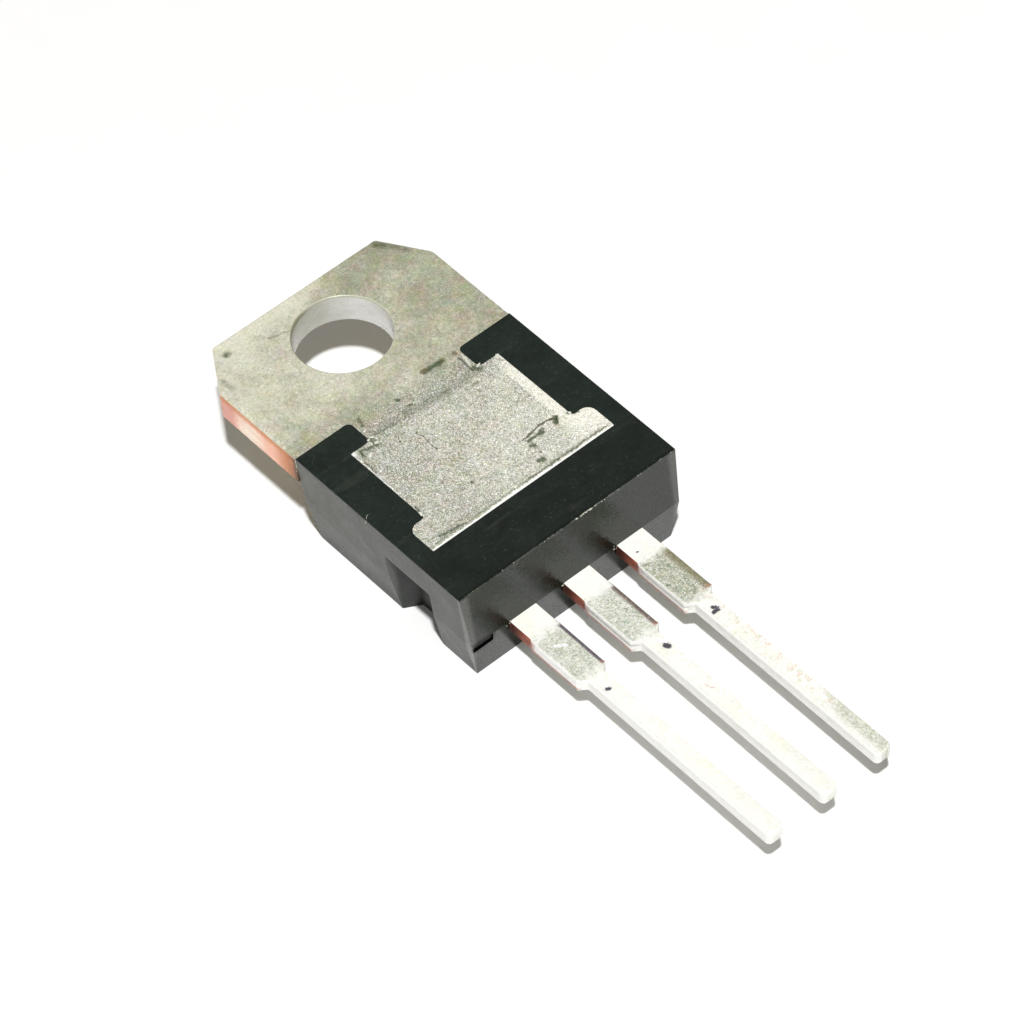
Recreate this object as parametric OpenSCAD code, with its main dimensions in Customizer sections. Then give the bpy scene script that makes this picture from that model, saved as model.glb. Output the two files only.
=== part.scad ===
// Three-lead voltage regulator in a tabbed power package.
// Millimetres, +Z up. The part lies on its moulded front face, with its metal back face up.
// X runs across the leads, +Y points towards the tab's free end.
// The origin is midway along and across the whole part, level with the front face.

/* [Moulding] */
// Width of the moulding across its back face
body_w = 10.2; // [9.4:0.1:12]
// Length of the moulding along its back face
body_l = 9.15; // [8.6:0.05:10.5]
// Thickness of the moulding from its front face to its back face
body_t = 4.5; // [4.2:0.05:6]
// How far the end wall leans out between the back face and the parting line
end_draft_back = 0.23; // [0.05:0.01:0.4]
// How far the end wall leans back in between the parting line and the front face
end_draft_front = 0.25; // [0.05:0.01:0.5]
// How far each side wall leans in between the back face and the parting line
side_draft_back = 0.16; // [0.02:0.01:0.3]
// How far each side wall leans in between the parting line and the front face
side_draft_front = 0.29; // [0.05:0.01:0.5]
// How far the wall under the tab leans in between the tab and the front face
tab_wall_draft = 0.35; // [0.05:0.01:0.8]

/* [Side notches] */
// Distance from the tab's root to each notch's mouth
notch_from_tab = 4.7; // [3.5:0.05:5.2]
// Length of each notch's mouth along the side wall
notch_mouth_l = 2.55; // [1.5:0.05:3]
// How far the notch's slanted end runs along the wall by the time it reaches full depth
notch_slant = 0.65; // [0.2:0.05:1]
// Depth of each notch from the back face's edge
notch_depth = 1.1; // [0.5:0.05:1.3]
// Skin of moulding left between the notch and the header above it
notch_skin = 0.1; // [0.05:0.01:0.4]

/* [Marks left by moulding] */
// Width of the scar where the gate broke off the end wall
gate_w = 0.93; // [0.5:0.01:1.4]
// Height of the gate scar
gate_h = 0.4; // [0.2:0.01:0.8]
// Depth of the gate scar
gate_depth = 0.12; // [0.05:0.01:0.25]
// Distance from the moulding's middle plane to the middle of the gate scar
gate_off_middle = 4.4; // [3.9:0.01:4.5]
// Diameter of the ejector pin's mark on the front face
ejector_d = 1.6; // [1:0.1:2.5]
// Depth of the ejector pin's mark
ejector_depth = 0.08; // [0.03:0.01:0.15]
// Distance from the tab's root to the middle of the ejector pin's mark
ejector_from_tab = 1.9; // [1.8:0.05:2.4]

/* [Tab] */
// Width of the tab
tab_w = 10.2; // [9.4:0.1:11]
// Length of the tab from the moulding to its free end
tab_l = 6.35; // [5.8:0.05:8]
// Thickness of the tab and of the header
tab_t = 1.3; // [1:0.05:1.6]
// Width that each corner chamfer takes off the tab's free end
chamfer_w = 1.2; // [0.6:0.05:2]
// Length of each corner chamfer along the tab
chamfer_l = 1.95; // [0.8:0.05:2.4]
// Diameter of the mounting hole
hole_d = 3.8; // [3:0.05:4.2]
// Distance from the tab's free end to the middle of the mounting hole
hole_from_end = 2.85; // [2.6:0.05:3.4]

/* [Exposed pad] */
// Width of the neck between the tab and the pad
neck_w = 5.16; // [3:0.02:6.2]
// Length of the neck
neck_l = 1.22; // [0.8:0.02:1.6]
// Radius of the corners where the neck meets the tab and the pad
neck_corner_r = 0.22; // [0.05:0.01:0.35]
// Width of the exposed pad
pad_w = 7; // [6.4:0.05:7.8]
// Distance from the tab's root to the far end of the pad
pad_reach = 6.77; // [6.2:0.01:7]
// Width of the pad's foot, and of the flange that the moulding grips
foot_w = 8.56; // [8:0.02:9]
// Length of the pad's foot
foot_l = 1.41; // [0.8:0.01:2]
// Radius of the foot's outer corners
foot_corner_r = 0.4; // [0.1:0.01:0.6]
// Radius of the inner corners between the pad and its foot
foot_root_r = 0.12; // [0.03:0.01:0.2]
// How far the flange beside the pad is coined down below the back face
coin_depth = 0.4; // [0.2:0.05:0.7]

/* [Leads] */
// Distance between neighbouring leads
lead_pitch = 2.54; // [2.2:0.01:2.8]
// Thickness of the leads
lead_t = 0.55; // [0.4:0.01:0.7]
// Width of the narrow part of each lead
lead_w = 0.75; // [0.6:0.01:0.9]
// Free length of the leads from the moulding to their tips
lead_l = 13.41; // [8:0.01:20]
// Distance from the back face down to the leads
lead_drop = 2.58; // [2.3:0.01:2.8]
// Width of the wide part of each lead next to the moulding
shoulder_w = 1.27; // [1:0.01:1.5]
// Distance from the moulding to the end of the wide part
shoulder_l = 3.7; // [2:0.05:5]
// Length over which the wide part narrows
shoulder_taper = 0.22; // [0.1:0.01:0.5]
// Distance from the moulding to the stub of the trimmed tie bar
stub_from_body = 1.15; // [0.6:0.05:1.6]
// How far the trimmed stub stands out on each side of the wide part
stub_proud = 0.05; // [0.02:0.01:0.12]
// Radius of the corners at each lead's tip
tip_corner_r = 0.2; // [0.05:0.01:0.28]

/* [Lead ends inside the moulding] */
// Length of each outer lead inside the moulding
embed_l = 2; // [1.6:0.05:2.2]
// Width of the bonding post at each outer lead's inner end
post_w = 2.1; // [1.6:0.05:2.3]
// Length of the bonding post
post_l = 1.05; // [0.7:0.05:1.3]
// How far the middle lead runs straight inside the moulding before it steps up
step_from_wall = 0.9; // [0.5:0.05:1.2]
// How far the middle lead runs straight off the header before it steps down
step_from_header = 0.3; // [0.1:0.05:0.4]

/* [Chip and wires] */
// Width of the chip
die_w = 2; // [1:0.05:3]
// Length of the chip
die_l = 2.3; // [1:0.05:2.6]
// Thickness of the chip
die_t = 0.3; // [0.2:0.01:0.4]
// Distance from the tab's root to the middle of the chip
die_from_tab = 4.1; // [3.8:0.05:4.4]
// How far the solder spreads past the chip on each side
solder_spread = 0.12; // [0.05:0.01:0.3]
// Thickness of the solder under the chip
solder_t = 0.05; // [0.03:0.01:0.1]
// Diameter of the bond wires
wire_d = 0.2; // [0.1:0.01:0.3]
// Length of the flattened foot at each end of a wire
wire_foot_l = 0.5; // [0.35:0.05:0.7]
// How far the wires to the outer leads bow away from the header
lead_wire_bow = 1.15; // [0.9:0.05:1.3]
// How far the short wire to the header bows away from it
ground_wire_bow = 0.4; // [0.3:0.05:0.6]
// Distance from each wire's foot on the chip to the chip's edges
wire_edge_gap = 0.4; // [0.3:0.05:0.5]
// Distance from the chip's edge to the ground wire's foot on the header
ground_foot_gap = 0.75; // [0.6:0.05:1]

/* [Hidden] */
$fn = 96;

// Extra length on cutters and on shapes that are trimmed later
over = 1;

// Heights above the front face
back_z = body_t;
header_z = back_z - tab_t;
lead_back_z = back_z - lead_drop;
lead_front_z = lead_back_z - lead_t;
die_back_z = header_z - solder_t;
die_front_z = die_back_z - die_t;

// Places along Y, measured from the tab's root, where the moulding begins
wall_y = -(body_l + end_draft_back);
front_wall_y = wall_y + end_draft_front;
tip_y = wall_y - lead_l;
foot_y = -(pad_reach - foot_l);
post_y = wall_y + embed_l;
root_y = (tab_l - tip_y) / 2 - tab_l;

// The middle lead's step, from the header down to the height of the leads
step_top_y = -pad_reach - step_from_header;
step_foot_y = wall_y + step_from_wall;
step_angle = atan2(header_z - lead_front_z, step_top_y - step_foot_y);
step_offset = lead_t * tan(step_angle / 2);

// Ends of the wires on the chip, the posts and the header
die_y = -die_from_tab;
wire_die_x = die_w / 2 - wire_edge_gap;
lead_wire_die_y = die_y - die_l / 2 + wire_edge_gap;
ground_wire_die_y = die_y + die_l / 2 - wire_edge_gap;
ground_foot_y = die_y + die_l / 2 + ground_foot_gap;
wire_post_y = post_y - post_l / 2;

EPOXY = [0.14, 0.16, 0.15];
TINNED = [0.75, 0.74, 0.69];
SILICON = [0.3, 0.31, 0.36];
SOLDER = [0.6, 0.6, 0.6];
WIRE = [0.82, 0.82, 0.8];

// A whole outline from its right-hand half, listed from one end of the middle line to the other
function whole(half) = concat(half, [for (i = [len(half) - 1 : -1 : 0]) [-half[i].x, half[i].y]]);

// Puts what is drawn from the tab's root into the part's own frame
module placed() {
    translate([0, root_y, 0]) children();
}

// Draws its children on both sides of the middle plane
module both_sides() {
    children();
    mirror([1, 0, 0]) children();
}

// Extrudes an outline drawn in Y and Z to the given width across X
module across(width) {
    translate([-width / 2, 0, 0])
        rotate([90, 0, 90])
            linear_extrude(height = width) children();
}

// Extrudes an outline drawn in X and Z between two places along Y
module along(from_y, to_y) {
    translate([0, to_y, 0])
        rotate([90, 0, 0])
            linear_extrude(height = to_y - from_y) children();
}

// The bit of a square corner at the origin that lies outside a round corner of radius r,
// with its two straight edges along +X and +Y
module corner_fill(r) {
    difference() {
        square([r, r]);
        translate([r, r]) circle(r = r);
    }
}

// ---------- Header, with the tab and the middle lead ----------

module tab_outline() {
    polygon(whole([
        [tab_w / 2, 0],
        [tab_w / 2, tab_l - chamfer_l],
        [tab_w / 2 - chamfer_w, tab_l]
    ]));
}

// Neck, with its rounded inner corners at the tab and at the pad
module neck_outline() {
    translate([-neck_w / 2, -neck_l]) square([neck_w, neck_l]);
    both_sides() {
        translate([neck_w / 2, -neck_l]) corner_fill(neck_corner_r);
        translate([neck_w / 2, 0]) mirror([0, 1]) corner_fill(neck_corner_r);
    }
}

// The full width of the flange, from the neck to the end of the pad
module flange_outline() {
    translate([-foot_w / 2, -pad_reach]) square([foot_w, pad_reach - neck_l]);
}

// What the back face shows of the flange: the pad, and its wider foot
module pad_outline() {
    translate([-pad_w / 2, -pad_reach]) square([pad_w, pad_reach - neck_l]);
    both_sides() {
        translate([pad_w / 2, foot_y]) corner_fill(foot_root_r);
    }
    difference() {
        translate([-foot_w / 2, -pad_reach]) square([foot_w, foot_l]);
        both_sides() {
            translate([foot_w / 2, foot_y]) rotate(180) corner_fill(foot_corner_r);
        }
    }
}

// A lead's outline from above, centred on x = 0, running from inner_y to its tip
module lead_outline(inner_y) {
    half = lead_w / 2;
    wide = shoulder_w / 2;
    stub = wide + stub_proud;
    stub_y = wall_y - stub_from_body;
    shoulder_y = wall_y - shoulder_l;
    narrow_y = shoulder_y - shoulder_taper;
    difference() {
        polygon(whole([
            [wide, inner_y],
            [wide, stub_y],
            [stub, stub_y - stub_proud],
            [stub, shoulder_y],
            [half, narrow_y],
            [half, tip_y]
        ]));
        both_sides() translate([half, tip_y]) mirror([1, 0]) corner_fill(tip_corner_r);
    }
}

// The middle lead's edge outline: straight off the header, a step down, then straight to the tip
module middle_lead_profile() {
    top = header_z + lead_t;
    polygon([
        [-pad_reach + over, top],
        [step_top_y - step_offset, top],
        [step_foot_y - step_offset, lead_back_z],
        [tip_y, lead_back_z],
        [tip_y, lead_front_z],
        [step_foot_y, lead_front_z],
        [step_top_y, header_z],
        [-pad_reach + over, header_z]
    ]);
}

module middle_lead() {
    intersection() {
        linear_extrude(height = body_t) lead_outline(-pad_reach + over);
        across(tab_w) middle_lead_profile();
    }
}

module header_solid() {
    difference() {
        union() {
            translate([0, 0, header_z]) linear_extrude(height = tab_t) {
                tab_outline();
                neck_outline();
                pad_outline();
            }
            translate([0, 0, header_z])
                linear_extrude(height = tab_t - coin_depth) flange_outline();
            middle_lead();
        }
        translate([0, tab_l - hole_from_end, header_z - over])
            cylinder(d = hole_d, h = tab_t + 2 * over);
    }
}

// ---------- Outer leads ----------

// side is -1 for the left lead and 1 for the right one
module outer_lead_solid(side) {
    translate([side * lead_pitch, 0, lead_front_z]) {
        linear_extrude(height = lead_t) lead_outline(post_y);
        translate([-post_w / 2, post_y - post_l, 0]) cube([post_w, post_l, lead_t]);
    }
}

// ---------- Chip, solder and wires ----------

module die_solid() {
    translate([-die_w / 2, die_y - die_l / 2, die_front_z]) cube([die_w, die_l, die_t]);
}

module solder_solid() {
    w = die_w + 2 * solder_spread;
    l = die_l + 2 * solder_spread;
    translate([-w / 2, die_y - l / 2, die_back_z]) cube([w, l, solder_t]);
}

// Flattened foot of a wire, lying under the face at the point given
module wire_foot(at, heading) {
    translate([at.x, at.y, at.z - wire_d / 2])
        rotate([0, 0, heading])
            cube([wire_foot_l, wire_d * 1.2, wire_d], center = true);
}

// A round wire between two points on faces that look down. It follows one circular arc, which
// bows down from the straight line between its ends, in the upright plane through both.
module bond_wire(start, end, bow) {
    run = end - start;
    span = norm([run.x, run.y]);
    heading = atan2(run.y, run.x);
    tilt = atan2(run.z, span);
    chord = norm(run);
    arc_r = (chord * chord / 4 + bow * bow) / (2 * bow);
    half_angle = atan2(chord / 2, arc_r - bow);
    wire_foot(start, heading);
    wire_foot(end, heading);
    translate(start - [0, 0, wire_d / 2])
        rotate([0, 0, heading])
            rotate([90, 0, 0])
                rotate([0, 0, tilt])
                    translate([chord / 2, arc_r - bow, 0])
                        rotate([0, 0, -90 - half_angle])
                            rotate_extrude(angle = 2 * half_angle)
                                translate([arc_r, 0]) circle(d = wire_d);
}

// side is -1 for the wire to the left lead and 1 for the wire to the right one
module lead_wire_solid(side) {
    bond_wire(
        [side * wire_die_x, lead_wire_die_y, die_front_z],
        [side * lead_pitch, wire_post_y, lead_front_z],
        lead_wire_bow
    );
}

module ground_wire_solid() {
    bond_wire([0, ground_wire_die_y, die_front_z], [0, ground_foot_y, header_z], ground_wire_bow);
}

// ---------- Moulding ----------

module body_block() {
    intersection() {
        across(body_w + over) polygon([
            [0, back_z],
            [0, header_z],
            [-tab_wall_draft, 0],
            [front_wall_y, 0],
            [wall_y, lead_back_z],
            [-body_l, back_z]
        ]);
        along(wall_y - over, over) polygon(whole([
            [body_w / 2, back_z],
            [body_w / 2 - side_draft_back, lead_back_z],
            [body_w / 2 - side_draft_back - side_draft_front, 0]
        ]));
    }
}

// One side's notch, open at the side wall and at the front face, with a slanted end near the tab
module side_notch() {
    inner_x = body_w / 2 - notch_depth;
    far_y = -(notch_from_tab + notch_mouth_l);
    translate([0, 0, -over]) linear_extrude(height = header_z - notch_skin + over)
        polygon([
            [body_w / 2 + over, far_y],
            [inner_x, far_y],
            [inner_x, -notch_from_tab - notch_slant],
            [body_w / 2, -notch_from_tab],
            [body_w / 2 + over, -notch_from_tab]
        ]);
}

module gate_scar() {
    translate([-gate_off_middle - gate_w / 2, wall_y - over, lead_back_z - gate_h])
        cube([gate_w, over + gate_depth, gate_h]);
}

module ejector_mark() {
    translate([0, -ejector_from_tab, -over])
        cylinder(d = ejector_d, h = over + ejector_depth);
}

// ---------- Nodes ----------

module mould_body() {
    color(EPOXY) placed() difference() {
        body_block();
        both_sides() side_notch();
        gate_scar();
        ejector_mark();
        header_solid();
        outer_lead_solid(-1);
        outer_lead_solid(1);
        solder_solid();
        die_solid();
        lead_wire_solid(-1);
        lead_wire_solid(1);
        ground_wire_solid();
    }
}

module heat_sink_header() {
    color(TINNED) placed() header_solid();
}

module left_lead() {
    color(TINNED) placed() outer_lead_solid(-1);
}

module right_lead() {
    color(TINNED) placed() outer_lead_solid(1);
}

module die_attach() {
    color(SOLDER) placed() solder_solid();
}

module regulator_die() {
    color(SILICON) placed() die_solid();
}

module left_bond_wire() {
    color(WIRE) placed() lead_wire_solid(-1);
}

module right_bond_wire() {
    color(WIRE) placed() lead_wire_solid(1);
}

module ground_bond_wire() {
    color(WIRE) placed() ground_wire_solid();
}

mould_body();
heat_sink_header();
left_lead();
right_lead();
die_attach();
regulator_die();
left_bond_wire();
right_bond_wire();
ground_bond_wire();
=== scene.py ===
"""Three-lead voltage regulator in a tabbed power package, lying on its moulded front face.

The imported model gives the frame. This script dresses it: the stamped and tin-plated header, the
leads as they leave the trimming tool, the moulded epoxy body, the marks that handling left, and
a plain studio. Shapes are worked out in millimetres and put into the meshes in metres.
"""

import logging
import math
from dataclasses import dataclass, field
from enum import Enum

import bpy
import numpy as np
from mathutils import Matrix, Vector
from mathutils.geometry import delaunay_2d_cdt

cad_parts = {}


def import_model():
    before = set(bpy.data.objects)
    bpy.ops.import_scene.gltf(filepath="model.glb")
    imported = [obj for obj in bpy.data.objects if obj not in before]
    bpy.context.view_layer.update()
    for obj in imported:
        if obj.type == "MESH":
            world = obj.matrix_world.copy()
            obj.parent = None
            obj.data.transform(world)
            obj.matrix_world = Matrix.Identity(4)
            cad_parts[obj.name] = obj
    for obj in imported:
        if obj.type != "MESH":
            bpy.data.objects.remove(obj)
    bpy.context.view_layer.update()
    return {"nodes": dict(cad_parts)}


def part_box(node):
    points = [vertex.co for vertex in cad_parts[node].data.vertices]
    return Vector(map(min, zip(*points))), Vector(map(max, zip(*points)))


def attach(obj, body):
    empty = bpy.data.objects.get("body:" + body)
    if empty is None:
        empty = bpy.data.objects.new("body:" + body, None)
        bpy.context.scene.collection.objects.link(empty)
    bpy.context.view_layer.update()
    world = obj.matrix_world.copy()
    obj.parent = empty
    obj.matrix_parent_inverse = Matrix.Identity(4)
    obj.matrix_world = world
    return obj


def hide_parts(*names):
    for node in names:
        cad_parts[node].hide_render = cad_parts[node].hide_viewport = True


LOG = logging.getLogger("regulator")
MM = 0.001
ROOT = "root"
TINNED_SLOT = "tinned_metal"
MOULDING_SLOT = "moulding"
WHITE = (1.0, 1.0, 1.0, 1.0)


# ---------- Shapes worked out as whole arrays ----------


def unit(vectors: np.ndarray) -> np.ndarray:
    """Each vector divided by its own length."""
    return vectors / np.linalg.norm(vectors, axis=-1, keepdims=True)


def rounded_loop(corners: np.ndarray, radii: np.ndarray, steps: int = 7) -> np.ndarray:
    """A closed outline with a round arc at each of its corners.

    Each arc's centre lies on the corner's bisector, r / sin(half angle) from the corner, and its
    ends touch both sides. The points between are turned evenly from one end to the other.

    Args:
        corners: The K sharp corners, in order, in millimetres.
        radii: The K arcs' radii.
        steps: How many points each arc gets.

    Returns:
        The K * steps points of the outline.
    """
    back = unit(np.roll(corners, 1, axis=0) - corners)
    ahead = unit(np.roll(corners, -1, axis=0) - corners)
    half = np.arccos(np.clip((back * ahead).sum(axis=1), -1, 1)) / 2
    reach = (radii / np.tan(half))[:, None]
    centres = corners + unit(back + ahead) * (radii / np.sin(half))[:, None]
    first = corners + back * reach - centres
    last = corners + ahead * reach - centres
    turn = (math.pi - 2 * half)[:, None, None]
    share = np.linspace(0, 1, steps)[None, :, None]
    arcs = (np.sin((1 - share) * turn) * first[:, None] + np.sin(share * turn) * last[:, None]) / np.sin(turn)
    return (centres[:, None] + arcs).reshape(-1, 2)


def even_loop(outline: np.ndarray, spacing: float) -> np.ndarray:
    """The same closed outline with points added, so that no two neighbours lie further than spacing apart."""
    ahead = np.roll(outline, -1, axis=0) - outline
    parts = np.maximum(1, np.ceil(np.linalg.norm(ahead, axis=1) / spacing)).astype(int)
    owner = np.repeat(np.arange(len(outline)), parts)
    step = np.arange(parts.sum()) - np.repeat(np.cumsum(parts) - parts, parts)
    return outline[owner] + ahead[owner] * (step / parts[owner])[:, None]


def inward(outline: np.ndarray) -> np.ndarray:
    """Unit normals that point into an anticlockwise closed outline, from each point's two neighbours."""
    along = unit(np.roll(outline, -1, axis=0) - np.roll(outline, 1, axis=0))
    return np.stack([-along[:, 1], along[:, 0]], axis=1)


def inside(points: np.ndarray, outline: np.ndarray) -> np.ndarray:
    """Whether each point lies in the outline: a ray towards +X crosses an odd number of its sides."""
    start, end = outline, np.roll(outline, -1, axis=0)
    x, y = points[:, 0:1], points[:, 1:2]
    spans = (start[:, 1] > y) != (end[:, 1] > y)
    rise = np.where(end[:, 1] == start[:, 1], 1, end[:, 1] - start[:, 1])
    cross = start[:, 0] + (y - start[:, 1]) * (end[:, 0] - start[:, 0]) / rise
    return (spans & (x < cross)).sum(axis=1) % 2 == 1


def gap_to(points: np.ndarray, outline: np.ndarray) -> np.ndarray:
    """Distance from each point to the closed outline: the least over its sides of the distance to each."""
    start, along = outline, np.roll(outline, -1, axis=0) - outline
    offset = points[:, None] - start[None]
    share = np.clip((offset * along).sum(axis=2) / (along**2).sum(axis=1), 0, 1)
    return np.linalg.norm(offset - share[..., None] * along, axis=2).min(axis=1)


def grid_quads(rows: int, cols: int, close_cols: bool = True, first: int = 0) -> np.ndarray:
    """Corner indices of the quads of a grid of points stored row by row.

    Args:
        rows: Number of rows of points.
        cols: Number of points in each row.
        close_cols: Whether each row is a ring, whose last point joins its first.
        first: Index of the grid's first point.

    Returns:
        One row of four indices per quad, anticlockwise seen from where rows go up and columns go right.
    """
    r = np.arange(rows - 1)[:, None]
    c = np.arange(cols if close_cols else cols - 1)[None, :]
    d = (c + 1) % cols
    corners = [r * cols + c, r * cols + d, (r + 1) * cols + d, (r + 1) * cols + c]
    return first + np.stack([k.ravel() for k in corners], axis=1)


def filled(loops: list[np.ndarray], spacing: float) -> tuple[np.ndarray, np.ndarray]:
    """Triangles that fill the space between closed loops, with an even grid of points inside it.

    Args:
        loops: The outer outline, then the outlines of any holes.
        spacing: Distance between the inner points.

    Returns:
        The points, the loops' own first and in their order, and the triangles, facing +Z.
    """
    low, high = loops[0].min(axis=0), loops[0].max(axis=0)
    xs = np.arange(low[0] + spacing / 2, high[0], spacing)
    ys = np.arange(low[1] + spacing / 2, high[1], spacing)
    inner = np.stack(np.meshgrid(xs, ys), axis=-1).reshape(-1, 2)
    for number, loop in enumerate(loops):
        inner = inner[inside(inner, loop) == (number == 0)]
        inner = inner[gap_to(inner, loop) > spacing * 0.55]
    points = np.concatenate([*loops, inner])
    counts = [len(loop) for loop in loops]
    starts = np.cumsum([0, *counts])
    edges = [(int(s + i), int(s + (i + 1) % n)) for s, n in zip(starts, counts) for i in range(n)]
    found = delaunay_2d_cdt([Vector(p) for p in points], edges, [], 0, 1e-7, True)
    source = np.array([ids[0] for ids in found[3]])
    triangles = source[np.array([list(f) for f in found[2]])]
    middles = points[triangles].mean(axis=1)
    for number, loop in enumerate(loops):
        kept = inside(middles, loop) == (number == 0)
        triangles, middles = triangles[kept], middles[kept]
    a, b, c = (points[triangles[:, k]] for k in range(3))
    area = (b[:, 0] - a[:, 0]) * (c[:, 1] - a[:, 1]) - (b[:, 1] - a[:, 1]) * (c[:, 0] - a[:, 0])
    triangles[area < 0] = triangles[area < 0][:, ::-1]
    return points, triangles


def wobble(along: np.ndarray, height: float, wave: float, seed: int) -> np.ndarray:
    """A gentle unevenness along an edge: four sine waves of falling length, each with its own phase."""
    phases = np.random.default_rng(seed).uniform(0, 2 * math.pi, 4)
    lengths = wave / np.array([1, 1.7, 2.9, 4.3])
    waves = np.sin(along[..., None] * 2 * math.pi / lengths + phases)
    return height * (waves * np.array([0.4, 0.3, 0.2, 0.1])).sum(axis=-1)


def pebbles(
    centres: np.ndarray, axes: np.ndarray, turns: np.ndarray, seed: int
) -> tuple[np.ndarray, list[np.ndarray]]:
    """Closed, irregular lumps, all worked out at once.

    A lump is an ellipsoid: cos(a) cos(b), cos(a) sin(b), sin(a) times its three half axes, with a
    from -80 to 80 degrees and b once round. Its girth is swelled by three sine waves of b.

    Args:
        centres: The N lumps' centres, in millimetres.
        axes: Their half axes along X, Y and Z before they are turned.
        turns: Their turn about Z, in radians.
        seed: Seed of the waves' phases.

    Returns:
        The points, and the faces: the quads, then the caps of each end.
    """
    count, rows, cols = len(centres), 7, 14
    up = np.radians(np.linspace(-80, 80, rows))[None, :, None]
    round_ = np.linspace(0, 2 * math.pi, cols, endpoint=False)[None, None, :]
    phases = np.random.default_rng(seed).uniform(0, 2 * math.pi, (3, count, 1, 1))
    girth = 1 + 0.24 * np.sin(2 * round_ + phases[0]) + 0.14 * np.sin(3 * round_ + phases[1])
    girth = girth + 0.09 * np.sin(5 * round_ + phases[2])
    across = axes[:, 0, None, None] * np.cos(up) * np.cos(round_) * girth
    ahead = axes[:, 1, None, None] * np.cos(up) * np.sin(round_) * girth
    rise = axes[:, 2, None, None] * np.sin(up) * np.ones_like(round_)
    c, s = np.cos(turns)[:, None, None], np.sin(turns)[:, None, None]
    points = np.stack([across * c - ahead * s, across * s + ahead * c, rise], axis=3)
    points = (points + centres[:, None, None]).reshape(-1, 3)
    first = (np.arange(count) * rows * cols)[:, None, None]
    quads = (grid_quads(rows, cols)[None] + first).reshape(-1, 4)
    low = np.arange(cols)[::-1][None] + first[:, 0]
    high = np.arange(cols)[None] + (rows - 1) * cols + first[:, 0]
    return points, [quads, np.concatenate([low, high])]


def tube(path: np.ndarray, radius: np.ndarray, sides: int = 8) -> tuple[np.ndarray, list[np.ndarray]]:
    """A round tube along a path, closed at its ends.

    Each ring lies across the path's own direction, spanned by the direction's cross product with
    a fixed heading and by the cross product of the two.

    Args:
        path: The points of its middle line.
        radius: Its radius at each of them.
        sides: Points in each ring.

    Returns:
        The points, and the faces: the quads, then the caps.
    """
    ahead = unit(np.gradient(path, axis=0))
    first = unit(np.cross(ahead, np.array([0.3, 0.2, 0.93])))
    second = np.cross(ahead, first)
    turn = np.linspace(0, 2 * math.pi, sides, endpoint=False)[None, :, None]
    ring = first[:, None] * np.cos(turn) + second[:, None] * np.sin(turn)
    points = (path[:, None] + ring * radius[:, None, None]).reshape(-1, 3)
    caps = np.stack([np.arange(sides)[::-1], (len(path) - 1) * sides + np.arange(sides)])
    return points, [grid_quads(len(path), sides), caps]


def mesh_piece(
    name: str,
    points: np.ndarray,
    faces: list[np.ndarray],
    attributes: dict[str, np.ndarray] | None = None,
    sharp: float = 38,
) -> bpy.types.Object:
    """Makes an object from arrays.

    Args:
        name: The piece's name.
        points: Its vertices, in millimetres.
        faces: Arrays of vertex indices, one array for each number of corners.
        attributes: Values for each vertex, which the materials read.
        sharp: Angle in degrees past which an edge stays sharp.

    Returns:
        The new object, linked to the scene, at the origin.
    """
    mesh = bpy.data.meshes.new(name)
    totals = np.concatenate([np.full(len(f), f.shape[1]) for f in faces])
    loops = np.concatenate([f.ravel() for f in faces])
    mesh.vertices.add(len(points))
    mesh.vertices.foreach_set("co", (points * MM).astype(np.float32).ravel())
    mesh.loops.add(len(loops))
    mesh.loops.foreach_set("vertex_index", loops.astype(np.int32))
    mesh.polygons.add(len(totals))
    mesh.polygons.foreach_set("loop_start", np.cumsum(totals, dtype=np.int32) - totals.astype(np.int32))
    mesh.update(calc_edges=True)
    for label, values in (attributes or {}).items():
        layer = mesh.attributes.new(label, "FLOAT", "POINT")
        layer.data.foreach_set("value", values.astype(np.float32))
    mesh.shade_smooth()
    mesh.set_sharp_from_angle(angle=math.radians(sharp))
    piece = bpy.data.objects.new(name, mesh)
    bpy.context.scene.collection.objects.link(piece)
    return piece


def place_piece(piece: bpy.types.Object, slot: str, *stands_for: str) -> bpy.types.Object:
    """Gives a new piece its body, and hides the CAD nodes that it stands for."""
    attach(piece, ROOT)
    if stands_for:
        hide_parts(*stands_for)
    LOG.info("%s: %d vertices", piece.name, len(piece.data.vertices))
    return piece


def dress(
    piece: bpy.types.Object, material: bpy.types.Material, slot: str, *stands_for: str
) -> bpy.types.Object:
    """Gives a new piece its one material, then what place_piece gives it."""
    piece.data.materials.append(material)
    return place_piece(piece, slot, *stands_for)


# ---------- Node trees ----------


def colour(red: int, green: int, blue: int) -> tuple[float, float, float, float]:
    """A display colour from 0 to 255 as the linear colour that a shader takes."""
    parts = [v / 255 for v in (red, green, blue)]
    linear = [v / 12.92 if v <= 0.04045 else ((v + 0.055) / 1.055) ** 2.4 for v in parts]
    return (*linear, 1.0)


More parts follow.
